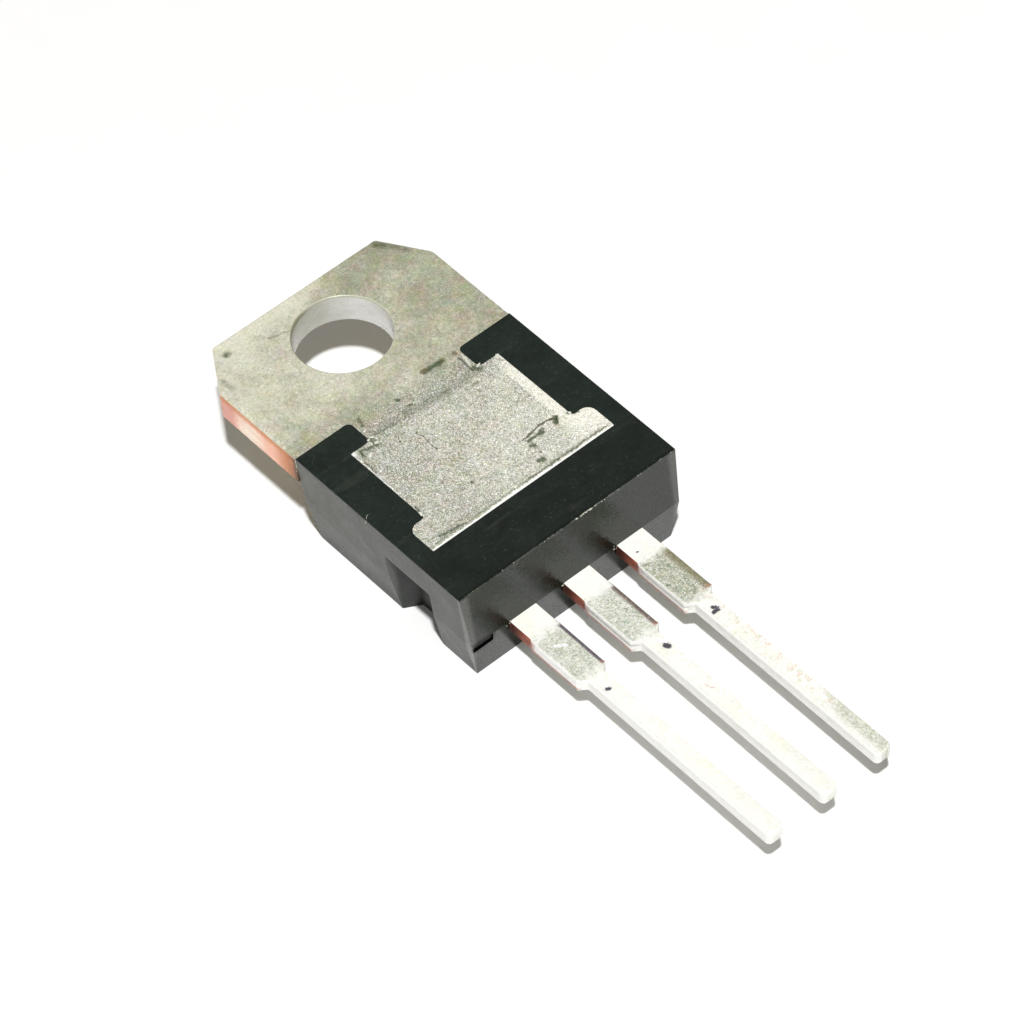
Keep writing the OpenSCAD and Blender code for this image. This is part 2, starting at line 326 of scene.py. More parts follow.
class Tree:
    """A node tree, with short ways to add nodes to it and to join them."""

    def __init__(self, tree: bpy.types.NodeTree) -> None:
        """Keeps the tree that is being built."""
        self.tree = tree

    def feed(self, socket: bpy.types.NodeSocket, value: object) -> None:
        """Sets a socket to a value, or joins it to another socket."""
        if isinstance(value, bpy.types.NodeSocket):
            self.tree.links.new(value, socket)
        else:
            socket.default_value = value

    def add(self, kind: str, inputs: dict | None = None, **settings: object) -> bpy.types.Node:
        """Adds one node.

        Args:
            kind: The node's type, without the ShaderNode that it starts with.
            inputs: Values or sockets for its inputs, by name or by number.
            settings: Properties of the node itself.

        Returns:
            The new node.
        """
        node = self.tree.nodes.new("ShaderNode" + kind)
        for label, value in settings.items():
            setattr(node, label, value)
        for label, value in (inputs or {}).items():
            self.feed(node.inputs[label], value)
        return node

    def math(self, operation: str, *values: object, clamp: bool = False) -> bpy.types.NodeSocket:
        """The result of a Math node on up to three values or sockets."""
        return self.add("Math", dict(enumerate(values)), operation=operation, use_clamp=clamp).outputs[0]

    def vector(self, operation: str, *values: object) -> bpy.types.NodeSocket:
        """The vector result of a Vector Math node."""
        return self.add("VectorMath", dict(enumerate(values)), operation=operation).outputs["Vector"]

    def ramp(
        self, value: object, low: float, high: float, to_low: float = 0, to_high: float = 1
    ) -> bpy.types.NodeSocket:
        """The value carried smoothly from to_low to to_high as it goes from low to high."""
        sockets = {"Value": value, "From Min": low, "From Max": high, "To Min": to_low, "To Max": to_high}
        return self.add("MapRange", sockets, interpolation_type="SMOOTHSTEP").outputs["Result"]

    def mix(self, share: object, first: object, second: object, way: str = "MIX") -> bpy.types.NodeSocket:
        """Two colours mixed by a share from 0 to 1."""
        node = self.add("Mix", data_type="RGBA", blend_type=way)
        self.feed(node.inputs["Factor"], share)
        self.feed(node.inputs[6], first)
        self.feed(node.inputs[7], second)
        return node.outputs[2]

    def noise(
        self, place: object, scale: float, detail: float = 2, roughness: float = 0.5
    ) -> bpy.types.NodeSocket:
        """A noise value from 0 to 1, with scale in bumps per millimetre."""
        sockets = {"Vector": place, "Scale": scale, "Detail": detail, "Roughness": roughness}
        return self.add("TexNoise", sockets).outputs[0]

    def group(self, tree: bpy.types.NodeTree, **inputs: object) -> bpy.types.Node:
        """Places a node group, whose inputs are named with _ for each space."""
        node = self.tree.nodes.new("ShaderNodeGroup")
        node.node_tree = tree
        for label, value in inputs.items():
            self.feed(node.inputs[label.replace("_", " ")], value)
        return node

    def place_mm(self) -> bpy.types.NodeSocket:
        """The point on the piece, in millimetres in the part's own frame."""
        return self.vector("MULTIPLY", self.add("TexCoord").outputs["Object"], (1 / MM, 1 / MM, 1 / MM))

    def axes(self, place: object) -> tuple[bpy.types.NodeSocket, ...]:
        """The three parts of a vector."""
        return tuple(self.add("SeparateXYZ", {0: place}).outputs)

    def both(self, first: object, second: object) -> bpy.types.NodeSocket:
        """The product of two masks."""
        return self.math("MULTIPLY", first, second, clamp=True)

    def strokes(
        self, effects: "Effects", place: object, marks: tuple["Mark", ...]
    ) -> dict["MarkKind", object]:
        """One mask for each kind of mark, which takes in all the marks of that kind."""
        masks = {kind: 0.0 for kind in MarkKind}
        for mark in marks:
            masks[mark.kind] = self.group(
                effects.mark,
                Place=place,
                From=(*mark.start, 0.0),
                To=(*mark.end, 0.0),
                Half_Width=mark.half_width,
                Softness=mark.softness,
                Strength=mark.strength,
                Below=masks[mark.kind],
            ).outputs["Mask"]
        return masks

    def attribute(self, label: str) -> bpy.types.NodeSocket:
        """The value that the piece's mesh keeps under a name."""
        return self.add("Attribute", attribute_name=label).outputs["Fac"]


class Material(Tree):
    """A material's tree, with its Principled BSDF."""

    def __init__(self, name: str) -> None:
        """Makes the material, with nothing in it but the Principled BSDF and the output."""
        self.material = bpy.data.materials.new(name)
        self.material.use_nodes = True
        super().__init__(self.material.node_tree)
        self.shader = self.tree.nodes["Principled BSDF"]

    def finish(self, **inputs: object) -> bpy.types.Material:
        """Feeds the Principled BSDF's sockets, named with _ for each space, and returns the material."""
        for label, value in inputs.items():
            self.feed(self.shader.inputs[label.replace("_", " ")], value)
        return self.material

    def grain(
        self, effects: "Effects", place: object, per_mm: float, glints: float, slope: float
    ) -> bpy.types.Node:
        """Places the grain group on the piece's own normal."""
        own = self.add("NewGeometry").outputs["Normal"]
        return self.group(
            effects.grain, Place=place, Normal=own, Crystals_per_mm=per_mm, Glints=glints, Slope=slope
        )

    def bump(self, height: object, depth_mm: float, normal: object = None) -> bpy.types.NodeSocket:
        """A normal from a height of 0 to 1, where 1 stands depth_mm above 0, laid over another normal."""
        sockets = {"Height": height, "Distance": depth_mm * MM, "Strength": 1.0}
        if normal is not None:
            sockets["Normal"] = normal
        return self.add("Bump", sockets).outputs["Normal"]


def new_group(
    name: str, inputs: dict[str, tuple[str, object]], outputs: dict[str, str]
) -> tuple[Tree, bpy.types.Node, bpy.types.Node]:
    """Starts a shader node group.

    Args:
        name: The group's name.
        inputs: The type and the first value of each input, by name.
        outputs: The type of each output, by name.

    Returns:
        The group's tree, the node that gives its inputs, and the node that takes its outputs.
    """
    tree = bpy.data.node_groups.new(name, "ShaderNodeTree")
    for label, (kind, value) in inputs.items():
        socket = tree.interface.new_socket(label, in_out="INPUT", socket_type="NodeSocket" + kind)
        if value is not None:
            socket.default_value = value
    for label, kind in outputs.items():
        tree.interface.new_socket(label, in_out="OUTPUT", socket_type="NodeSocket" + kind)
    return Tree(tree), tree.nodes.new("NodeGroupInput"), tree.nodes.new("NodeGroupOutput")


class Effects:
    """The node groups that several of the finishes share."""

    def __init__(self) -> None:
        """Builds every group once."""
        self.grain = self.build_grain()
        self.mark = self.build_mark()
        self.mottle = self.build_mottle()

    @staticmethod
    def build_grain() -> bpy.types.NodeTree:
        """Grain: crystals of random tone and slope, and a mask of the crystals that the finishes paint
        lighter as painted glints.

        A Voronoi cell stands for a crystal. Its random colour gives the cell's tone, and tips the
        surface's normal, so that each crystal is a small facet. Finer noise roughens the tone.
        """
        t, given, taken = new_group(
            "Crystal Grain",
            {
                "Place": ("Vector", None),
                "Normal": ("Vector", None),
                "Crystals per mm": ("Float", 16.0),
                "Glints": ("Float", 0.12),
                "Slope": ("Float", 0.3),
            },
            {"Tone": "Float", "Height": "Float", "Glint": "Float", "Hue": "Color", "Normal": "Vector"},
        )
        place, density = given.outputs["Place"], given.outputs["Crystals per mm"]
        blur = t.add("TexNoise", {"Vector": place, "Scale": t.math("MULTIPLY", density, 1.1), "Detail": 2.0})
        shift = t.vector("SUBTRACT", blur.outputs["Color"], (0.5, 0.5, 0.5))
        each_way = t.add("CombineXYZ", {0: density, 1: density, 2: density}).outputs[0]
        bent = t.vector("ADD", place, t.vector("DIVIDE", shift, each_way))
        cell = t.add("TexVoronoi", {"Vector": bent, "Scale": density}).outputs["Color"]
        parts = t.add("SeparateColor", {"Color": cell})
        fine = t.noise(place, t.math("MULTIPLY", density, 0.9), 3, 0.6)
        broad = t.add("TexNoise", {"Vector": place, "Scale": t.math("MULTIPLY", density, 0.2), "Detail": 2.0})
        coarse = broad.outputs[0]
        tone = t.math("ADD", t.math("MULTIPLY", parts.outputs["Red"], 0.3), t.math("MULTIPLY", fine, 0.35))
        tone = t.math("ADD", tone, t.math("MULTIPLY", coarse, 0.35))
        t.feed(taken.inputs["Tone"], tone)
        t.feed(taken.inputs["Height"], fine)
        vivid = t.vector("SUBTRACT", broad.outputs["Color"], (0.5, 0.5, 0.5))
        vivid = t.vector("MULTIPLY", vivid, (2.6, 2.6, 2.6))
        t.feed(taken.inputs["Hue"], t.mix(0.6, cell, t.vector("ADD", vivid, (0.5, 0.5, 0.5))))
        least = t.math("SUBTRACT", 1.0, given.outputs["Glints"])
        glint = t.math("SUBTRACT", parts.outputs["Blue"], least)
        glint = t.math("DIVIDE", glint, given.outputs["Glints"], clamp=True)
        t.feed(taken.inputs["Glint"], glint)
        tip = t.vector("SUBTRACT", cell, (0.5, 0.5, 0.5))
        steep = t.math("MULTIPLY", given.outputs["Slope"], 2.0)
        tip = t.add("VectorMath", {0: tip, "Scale": steep}, operation="SCALE").outputs["Vector"]
        t.feed(taken.inputs["Normal"], t.vector("NORMALIZE", t.vector("ADD", given.outputs["Normal"], tip)))
        return t.tree

    @staticmethod
    def build_mark() -> bpy.types.NodeTree:
        """Surface Mark: a soft-edged stroke between two points, as a mask.

        The distance from the point to the stroke's line, with the foot of the perpendicular held
        between its ends, is carried from 1 on the line to 0 at the stroke's half width.
        """
        t, given, taken = new_group(
            "Surface Mark",
            {
                "Place": ("Vector", None),
                "From": ("Vector", (0, 0, 0)),
                "To": ("Vector", (1, 0, 0)),
                "Half Width": ("Float", 0.1),
                "Softness": ("Float", 0.5),
                "Strength": ("Float", 1.0),
                "Below": ("Float", 0.0),
            },
            {"Mask": "Float"},
        )
        offset = t.vector("SUBTRACT", given.outputs["Place"], given.outputs["From"])
        along = t.vector("SUBTRACT", given.outputs["To"], given.outputs["From"])
        dot = t.add("VectorMath", {0: offset, 1: along}, operation="DOT_PRODUCT").outputs["Value"]
        size = t.add("VectorMath", {0: along, 1: along}, operation="DOT_PRODUCT").outputs["Value"]
        share = t.math("DIVIDE", dot, t.math("MAXIMUM", size, 1e-6), clamp=True)
        foot = t.add("VectorMath", {0: along, "Scale": share}, operation="SCALE").outputs["Vector"]
        offset = t.vector("SUBTRACT", offset, foot)
        away = t.add("VectorMath", {0: offset}, operation="LENGTH").outputs["Value"]
        away = t.math("DIVIDE", away, given.outputs["Half Width"])
        solid = t.math("SUBTRACT", 1.0, given.outputs["Softness"])
        strong = t.math("MULTIPLY", t.ramp(away, solid, 1.0, 1.0, 0.0), given.outputs["Strength"])
        t.feed(taken.inputs["Mask"], t.math("MAXIMUM", strong, given.outputs["Below"]))
        return t.tree

    @staticmethod
    def build_mottle() -> bpy.types.NodeTree:
        """Mottle: two sizes of soft cloud, as a value about 0.5, for stains and uneven plating."""
        t, given, taken = new_group(
            "Mottle",
            {"Place": ("Vector", None), "Clouds per mm": ("Float", 0.6), "Contrast": ("Float", 1.0)},
            {"Value": "Float"},
        )
        place, density = given.outputs["Place"], given.outputs["Clouds per mm"]
        wide = t.noise(place, density, 3, 0.55)
        small = t.noise(place, t.math("MULTIPLY", density, 4.7), 4, 0.6)
        both = t.math("ADD", t.math("MULTIPLY", wide, 0.6), t.math("MULTIPLY", small, 0.4))
        swing = t.math("MULTIPLY", t.math("SUBTRACT", both, 0.5), given.outputs["Contrast"])
        t.feed(taken.inputs["Value"], t.math("ADD", swing, 0.5, clamp=True))
        return t.tree


class MarkKind(Enum):
    """What a mark is made of; glint marks and sheen marks are painted highlights instead."""

    STAIN = "stain"
    RUST = "rust"
    SCRATCH = "scratch"
    GROOVE = "groove"
    GLINT = "glint"
    PAINTED_SHEEN = "painted_sheen"


@dataclass(frozen=True)
class Mark:
    """One mark on the back face: a stroke between two points, in millimetres."""

    kind: MarkKind
    start: tuple[float, float]
    end: tuple[float, float]
    half_width: float
    strength: float = 1.0
    softness: float = 0.6

    def reach(self) -> tuple[float, float]:
        """The least and the greatest Y that the mark touches."""
        low, high = sorted((self.start[1], self.end[1]))
        return low - self.half_width, high + self.half_width


HEADER_MARKS = (
    # Handling smudges by the tab's corners
    Mark(MarkKind.STAIN, (-3.79, 13.9), (-3.7, 13.92), 0.21, 0.8, 0.9),
    Mark(MarkKind.STAIN, (-4.66, 12.95), (-4.6, 12.5), 0.2, 0.4, 1.0),
    Mark(MarkKind.STAIN, (3.74, 14.3), (3.94, 14.06), 0.3, 0.75, 1.0),
    Mark(MarkKind.STAIN, (3.94, 14.06), (4.26, 13.68), 0.22, 0.45, 1.0),
    Mark(MarkKind.STAIN, (4.38, 13.4), (4.44, 13.3), 0.2, 0.45, 1.0),
    Mark(MarkKind.SCRATCH, (-2.11, 13.48), (-1.24, 13.2), 0.07, 0.35),
    # Across the root of the tab
    Mark(MarkKind.STAIN, (1.04, 8.2), (1.76, 8.14), 0.23, 0.9, 0.9),
    Mark(MarkKind.RUST, (0.92, 8.24), (1.06, 8.22), 0.14, 0.8, 0.8),
    Mark(MarkKind.RUST, (1.78, 8.2), (1.86, 8.18), 0.13, 0.8, 0.8),
    Mark(MarkKind.STAIN, (-0.64, 7.86), (-0.58, 7.8), 0.12, 0.8, 0.8),
    Mark(MarkKind.STAIN, (-0.47, 7.34), (-0.38, 7.28), 0.11, 0.8, 0.8),
    Mark(MarkKind.STAIN, (-0.01, 7.04), (0.42, 7.1), 0.05, 0.7, 0.8),
    Mark(MarkKind.STAIN, (-0.19, 6.48), (-0.16, 6.46), 0.07, 0.7, 0.8),
    Mark(MarkKind.STAIN, (0.83, 5.9), (0.86, 5.88), 0.07, 0.6, 0.8),
    Mark(MarkKind.STAIN, (-2.22, 7.2), (-0.79, 7.1), 0.34, 0.24, 1.0),
    Mark(MarkKind.STAIN, (-0.79, 7.1), (0.9, 6.9), 0.36, 0.45, 1.0),
    Mark(MarkKind.STAIN, (0.9, 6.9), (2.2, 6.9), 0.36, 0.34, 1.0),
    Mark(MarkKind.STAIN, (-2.31, 7.12), (-1.25, 7.0), 0.09, 0.55, 0.9),
    # The smear and the stains by the neck's left corner, with painted highlights at the pad's corner, along
    # its left edge and on the neck
    Mark(MarkKind.STAIN, (-2.55, 6.7), (-2.85, 6.74), 0.15, 0.85, 0.9),
    Mark(MarkKind.STAIN, (-2.85, 6.74), (-3.13, 6.88), 0.15, 0.85, 0.9),
    Mark(MarkKind.STAIN, (-3.16, 6.85), (-3.24, 6.58), 0.11, 0.9, 0.8),
    Mark(MarkKind.STAIN, (-2.5, 7.02), (-2.48, 6.92), 0.26, 0.7, 0.7),
    Mark(MarkKind.GLINT, (-3.38, 6.97), (-3.42, 6.9), 0.1, 1.0, 0.6),
    Mark(MarkKind.GLINT, (-3.46, 6.7), (-3.46, 4.3), 0.03, 0.7, 0.6),
    Mark(MarkKind.GLINT, (-3.24, 5.63), (-3.22, 5.6), 0.08, 1.0, 0.6),
    Mark(MarkKind.STAIN, (-2.22, 8.12), (-2.31, 7.76), 0.15, 0.75, 1.0),
    Mark(MarkKind.GLINT, (-1.93, 7.53), (-1.85, 7.51), 0.05, 0.9, 0.5),
    Mark(MarkKind.GLINT, (-2.46, 7.52), (-2.43, 7.51), 0.06, 0.7, 0.6),
    Mark(MarkKind.STAIN, (-1.82, 6.22), (-1.8, 6.2), 0.07, 0.9, 0.7),
    # The thin dark lines along the pad's left edge
    Mark(MarkKind.SCRATCH, (-3.38, 6.35), (-3.41, 5.65), 0.03, 0.85),
    Mark(MarkKind.SCRATCH, (-3.3, 6.25), (-3.34, 5.8), 0.02, 0.6),
    Mark(MarkKind.SCRATCH, (-3.42, 3.5), (-3.44, 3.05), 0.045, 0.8),
    # The smear and the stains by the neck's right corner, painted highlights at the pad's corner, and a
    # painted sheen down the pad's right edge and over the foot's right corner
    Mark(MarkKind.STAIN, (2.42, 7.06), (2.54, 6.9), 0.22, 0.85, 0.8),
    Mark(MarkKind.SCRATCH, (2.32, 7.84), (2.3, 6.98), 0.05, 0.8),
    Mark(MarkKind.RUST, (2.37, 8.14), (2.38, 8.08), 0.13, 0.8, 0.8),
    Mark(MarkKind.RUST, (0.8, 6.93), (1.14, 6.94), 0.09, 0.4, 0.8),
    Mark(MarkKind.RUST, (1.85, 6.47), (2.06, 6.49), 0.09, 0.75, 0.8),
    Mark(MarkKind.RUST, (1.83, 6.12), (1.85, 6.06), 0.09, 0.75, 0.8),
    Mark(MarkKind.RUST, (1.72, 6.72), (1.75, 6.7), 0.08, 0.6, 0.8),
    Mark(MarkKind.GLINT, (3.43, 7.0), (3.44, 6.97), 0.1, 1.0, 0.6),
    Mark(MarkKind.GLINT, (3.46, 6.8), (3.46, 6.75), 0.06, 1.0, 0.5),
    Mark(MarkKind.RUST, (3.33, 6.72), (3.4, 6.66), 0.09, 0.7, 0.8),
    Mark(MarkKind.PAINTED_SHEEN, (3.36, 6.7), (3.36, 5.9), 0.4, 0.55, 0.6),
    Mark(MarkKind.PAINTED_SHEEN, (3.4, 5.9), (3.4, 3.3), 0.4, 0.8, 0.4),
    Mark(MarkKind.PAINTED_SHEEN, (3.5, 2.7), (4.1, 2.3), 0.8, 1.0, 0.8),
    Mark(MarkKind.SCRATCH, (3.02, 5.9), (3.04, 5.1), 0.035, 0.35),
    Mark(MarkKind.STAIN, (2.04, 4.73), (3.02, 4.65), 0.05, 0.4, 0.9),
    # A curved scratch on the pad
    Mark(MarkKind.SCRATCH, (-1.14, 6.18), (-1.05, 5.73), 0.035, 0.7),
    Mark(MarkKind.SCRATCH, (-1.05, 5.73), (-1.12, 5.05), 0.035, 0.7),
    Mark(MarkKind.SCRATCH, (-1.22, 2.98), (-1.17, 2.94), 0.07, 0.9),
    # The hook-shaped mark near the foot
    Mark(MarkKind.SCRATCH, (1.43, 3.19), (2.43, 3.34), 0.05, 0.85),
    Mark(MarkKind.SCRATCH, (2.43, 3.34), (3.01, 3.2), 0.055, 0.9),
    Mark(MarkKind.STAIN, (3.0, 3.22), (2.84, 3.0), 0.15, 1.0, 0.6),
    Mark(MarkKind.STAIN, (1.9, 3.0), (2.3, 3.12), 0.09, 0.9, 0.7),
    Mark(MarkKind.STAIN, (3.46, 3.02), (3.75, 2.86), 0.12, 0.9, 0.7),
    Mark(MarkKind.STAIN, (1.53, 3.03), (2.2, 2.98), 0.13, 0.9, 0.9),
    Mark(MarkKind.STAIN, (1.45, 2.78), (1.56, 2.7), 0.17, 0.9, 0.9),
    Mark(MarkKind.STAIN, (1.22, 2.04), (1.36, 2.0), 0.2, 0.9, 0.8),
    Mark(MarkKind.STAIN, (1.5, 2.34), (1.53, 2.3), 0.08, 0.7, 0.8),
    # The dull groove along the foot's end
    Mark(MarkKind.GROOVE, (-4.1, 1.95), (-1.0, 1.86), 0.07, 0.55, 0.9),
    Mark(MarkKind.GROOVE, (-1.0, 1.86), (4.2, 1.63), 0.07, 0.45, 0.9),
    # A painted highlight along the burr at the foot's end, and the dark line behind it
    Mark(MarkKind.STAIN, (-4.0, 1.66), (0.4, 1.64), 0.075, 0.5, 0.9),
    Mark(MarkKind.STAIN, (-3.65, 1.82), (-2.75, 1.68), 0.13, 0.8, 0.9),
    Mark(MarkKind.STAIN, (0.4, 1.64), (4.0, 1.62), 0.08, 0.8, 0.9),
    Mark(MarkKind.GLINT, (-4.2, 1.45), (-1.2, 1.46), 0.09, 1.0, 0.3),
    Mark(MarkKind.GLINT, (-1.6, 1.46), (1.6, 1.46), 0.12, 1.0, 0.3),
    Mark(MarkKind.GLINT, (1.4, 1.46), (4.2, 1.45), 0.08, 1.0, 0.3),
)


# ---------- Finishes ----------


@dataclass(frozen=True)
class TinPlate:
    """Matt tin over stamped copper, with bare copper where the strip was cut after plating."""

    name: str
    marks: tuple[Mark, ...]
    light: tuple = colour(250, 248, 226)
    dark: tuple = colour(174, 173, 146)
    pad_light: tuple = colour(254, 252, 234)
    pad_dark: tuple = colour(165, 165, 144)
    # Near white, painted over burnished edges and glint marks as a highlight.
    burnished_highlight: tuple = colour(253, 253, 250)
    underside: tuple = colour(204, 192, 152)
    stain: tuple = colour(72, 88, 54)
    rust: tuple = colour(122, 112, 76)
    crystals_per_mm: float = 32.0
    metallic: float = 0.3
    roughness: float = 0.42
    off_underside: tuple[float, float] = (3.22, 3.4)

    def plated(self, m: Material, effects: Effects, place: object, masks: dict) -> tuple:
        """The plating itself: even and matt on the tab, coarse and sparkling on the pad, with painted light
        and shade and painted highlights.

        Args:
            m: The material being built.
            effects: The shared node groups.
            place: The point, in millimetres.
            masks: One mask for each kind of mark.

        Returns:
            The colour, and the grain's node.
        """
        x, y, z = m.axes(place)
        pad = m.ramp(y, 9.0, 6.6)
        smooth = m.math("SUBTRACT", 1.0, m.math("MULTIPLY", m.attribute("burnish_and_highlight"), 0.95))
        slope = m.math("MULTIPLY", m.ramp(pad, 0, 1, 0.3, 0.5), smooth)
        grain = m.grain(effects, place, self.crystals_per_mm, m.ramp(pad, 0, 1, 0.12, 0.4), slope)
        cloud = m.group(effects.mottle, Place=place, Clouds_per_mm=0.55, Contrast=1.7)
        swing = m.math("SUBTRACT", grain.outputs["Tone"], 0.5)
        swing = m.math("MULTIPLY", swing, m.ramp(pad, 0, 1, 2.3, 3.8))
        drift = m.math("SUBTRACT", cloud.outputs["Value"], 0.5)
        drift = m.math("MULTIPLY", drift, m.ramp(pad, 0, 1, 1.15, 1.0))
        tone = m.math("ADD", swing, drift)
        # Painted light and shade: the tab darker to its right, along its end and by its root on the left, the
        # neck darker, most on its right, and the pad darker to its left and lighter to its right and towards
        # the foot.
        painted_light_and_shade = m.math("MULTIPLY", m.ramp(x, -2.4, 3.4, 0.0, 0.44), m.ramp(y, 6.4, 8.4))
        painted_light_and_shade = m.math("ADD", painted_light_and_shade, m.math("MULTIPLY", m.ramp(y, 12.2, 14.0, 0.0, 0.3), m.ramp(x, -1.8, 1.2)))
        painted_light_and_shade = m.math("ADD", painted_light_and_shade, m.math("MULTIPLY", m.both(m.ramp(y, 6.8, 7.3), m.ramp(y, 9.0, 7.8)), 0.24))
        painted_light_and_shade = m.math("ADD", painted_light_and_shade, m.math("MULTIPLY", m.ramp(y, 10.6, 8.8, 0.0, 0.26), m.ramp(x, 0.2, -2.0)))
        painted_light_and_shade = m.math("ADD", painted_light_and_shade, m.math("MULTIPLY", m.ramp(x, -3.2, 3.4, 0.05, -0.12), pad))
        painted_light_and_shade = m.math("SUBTRACT", painted_light_and_shade, m.ramp(y, 4.6, 2.8, 0.0, 0.12))
        by_neck = m.both(m.ramp(y, 6.1, 6.9), m.ramp(y, 8.2, 7.6))
        painted_light_and_shade = m.math("ADD", painted_light_and_shade, m.math("MULTIPLY", by_neck, m.ramp(x, -1.0, 2.2, 0.06, 0.36)))
        # Painted highlights: the sheen marks, the foot's right-hand corner and a band along the tab's end are
        # lit towards white.
        corner = m.both(m.ramp(x, 2.2, 4.1), m.ramp(y, 3.6, 2.4))
        bright = m.math("MAXIMUM", masks[MarkKind.PAINTED_SHEEN], corner)
        bright = m.math("MAXIMUM", bright, m.both(m.ramp(y, 13.5, 14.5, 0.0, 0.5), m.ramp(x, 2.6, 0.6)))
        level = m.math("SUBTRACT", m.math("ADD", m.ramp(pad, 0, 1, 0.7, 0.43), bright), painted_light_and_shade)
        tone = m.math("ADD", tone, level, clamp=True)
        base = m.mix(tone, m.mix(pad, self.dark, self.pad_dark), m.mix(pad, self.light, self.pad_light))
        base = m.mix(m.ramp(pad, 0, 1, 0.07, 0.1), base, grain.outputs["Hue"], "OVERLAY")
        tint = m.add("TexNoise", {"Vector": place, "Scale": 1.7, "Detail": 3.0, "Roughness": 0.6})
        tint = tint.outputs["Color"]
        tint = m.vector("MULTIPLY_ADD", tint, (3.0, 3.0, 3.0), (-1.0, -1.0, -1.0))
        base = m.mix(m.ramp(pad, 0, 1, 0.1, 0.08), base, tint, "OVERLAY")
        under = m.ramp(z, 3.4, 3.22)
        base = m.mix(under, base, self.underside)
        # Painted glints: the grain's glint crystals are painted white, most on the pad.
        return m.mix(m.both(grain.outputs["Glint"], m.ramp(pad, 0, 1, 0.4, 0.9)), base, WHITE), grain

    def bore(self, m: Material, place: object) -> bpy.types.NodeSocket:
        """The hole's wall, smooth, in painted light and shade: bright at its sides, duller in its middle,
        with a darker band and an olive rim high on its left and a darker lip towards its right.
        """
        x, _, z = m.axes(place)
        # Painted light and shade: the wall is paler at both sides and duller in its middle.
        base = m.mix(m.ramp(x, -1.8, -0.6), colour(255, 255, 254), colour(224, 224, 214))
        base = m.mix(m.ramp(x, 0.2, 1.6), base, colour(255, 255, 252))
        drawn = m.noise(m.vector("MULTIPLY", place, (1, 1, 2.5)), 1.4, 2, 0.5)
        base = m.mix(m.ramp(drawn, 0.6, 0.35, 0.0, 0.2), base, colour(200, 200, 186))
        # Painted shade: a darker band and an olive rim high on the left.
        band = m.both(m.ramp(z, 4.0, 4.25), m.ramp(x, 1.2, -0.8))
        base = m.mix(m.math("MULTIPLY", band, 0.15), base, colour(178, 178, 150))
        uneven = m.math("MULTIPLY", m.math("SUBTRACT", m.noise(place, 2.2, 3, 0.6), 0.5), 0.35)
        rim = m.both(m.ramp(m.math("ADD", z, uneven), 4.24, 4.42), m.ramp(x, 0.6, -1.0))
        base = m.mix(m.math("MULTIPLY", rim, 0.85), base, colour(138, 138, 100))
        # Painted shade: a darker lip along the top, most on the right.
        lip = m.both(m.ramp(z, 4.41, 4.44), m.ramp(x, -1.0, 0.6, 0.0, 0.8))
        return m.mix(lip, base, colour(186, 185, 158))

    def bare(self, m: Material, place: object) -> bpy.types.NodeSocket:
        """Bare copper: pink by the corner and orange by the moulding, with a painted cream highlight in the
        middle of its length and painted shade next to the moulding.
        """
        _, y, z = m.axes(place)
        drawn = m.noise(m.vector("MULTIPLY", place, (1, 0.5, 1.2)), 1.6, 3, 0.55)
        base = m.mix(m.ramp(y, 11.2, 12.2), colour(255, 202, 178), colour(228, 168, 156))
        base = m.mix(m.ramp(y, 9.7, 8.8), base, colour(212, 146, 104))
        # Painted highlight: cream in the middle of the length, strongest low on the side.
        cream = m.both(m.ramp(y, 9.7, 10.9), m.ramp(y, 12.0, 11.3))
        cream = m.both(cream, m.ramp(z, 4.3, 3.9, 0.3, 1.0))
        base = m.mix(m.both(cream, m.ramp(drawn, 0.25, 0.55, 0.7, 1.0)), base, colour(255, 240, 222))
        base = m.mix(m.math("MULTIPLY", m.ramp(drawn, 0.62, 0.42), 0.16), base, colour(206, 128, 90))
        uneven = m.math("MULTIPLY", m.math("SUBTRACT", m.noise(place, 7.0, 3, 0.6), 0.5), 0.35)
        rim = m.ramp(m.math("ADD", z, uneven), 4.0, 4.32)
        base = m.mix(m.math("MULTIPLY", rim, 0.8), base, colour(206, 136, 84))
        foot = m.both(m.ramp(y, 8.95, 8.5), m.ramp(drawn, 0.3, 0.55, 0.5, 1.0))
        base = m.mix(m.math("MULTIPLY", foot, 0.7), base, colour(158, 100, 64))
        # Painted shade: dark brown next to the moulding.
        return m.mix(m.ramp(y, 8.5, 8.3, 0.0, 0.85), base, colour(92, 70, 54))

    def build(self, effects: Effects) -> bpy.types.Material:
        """Builds the header's material from the shared node groups."""
        m = Material(self.name)
        place = m.place_mm()
        uneven = m.add("TexNoise", {"Vector": place, "Scale": 5.0, "Detail": 3.0}).outputs["Color"]
        shift = m.vector("MULTIPLY", m.vector("SUBTRACT", uneven, (0.5, 0.5, 0.5)), (0.2, 0.2, 0.0))
        bent = m.vector("ADD", m.vector("MULTIPLY", place, (1, 1, 0)), shift)
        _, y, z = m.axes(place)
        above = m.ramp(z, *self.off_underside)
        masks = m.strokes(effects, bent, self.marks)
        masks = {kind: m.both(mask, above) for kind, mask in masks.items()}
        base, grain = self.plated(m, effects, place, masks)
        patchy = m.ramp(m.noise(place, 9.0, 4, 0.65), 0.3, 0.6)
        worn = m.math("ADD", m.math("MULTIPLY", patchy, 0.3), 0.75, clamp=True)
        base = m.mix(m.both(masks[MarkKind.STAIN], worn), base, self.stain)
        base = m.mix(m.both(masks[MarkKind.RUST], worn), base, self.rust)
        base = m.mix(masks[MarkKind.GROOVE], base, colour(176, 176, 156))
        base = m.mix(masks[MarkKind.SCRATCH], base, colour(84, 84, 68))
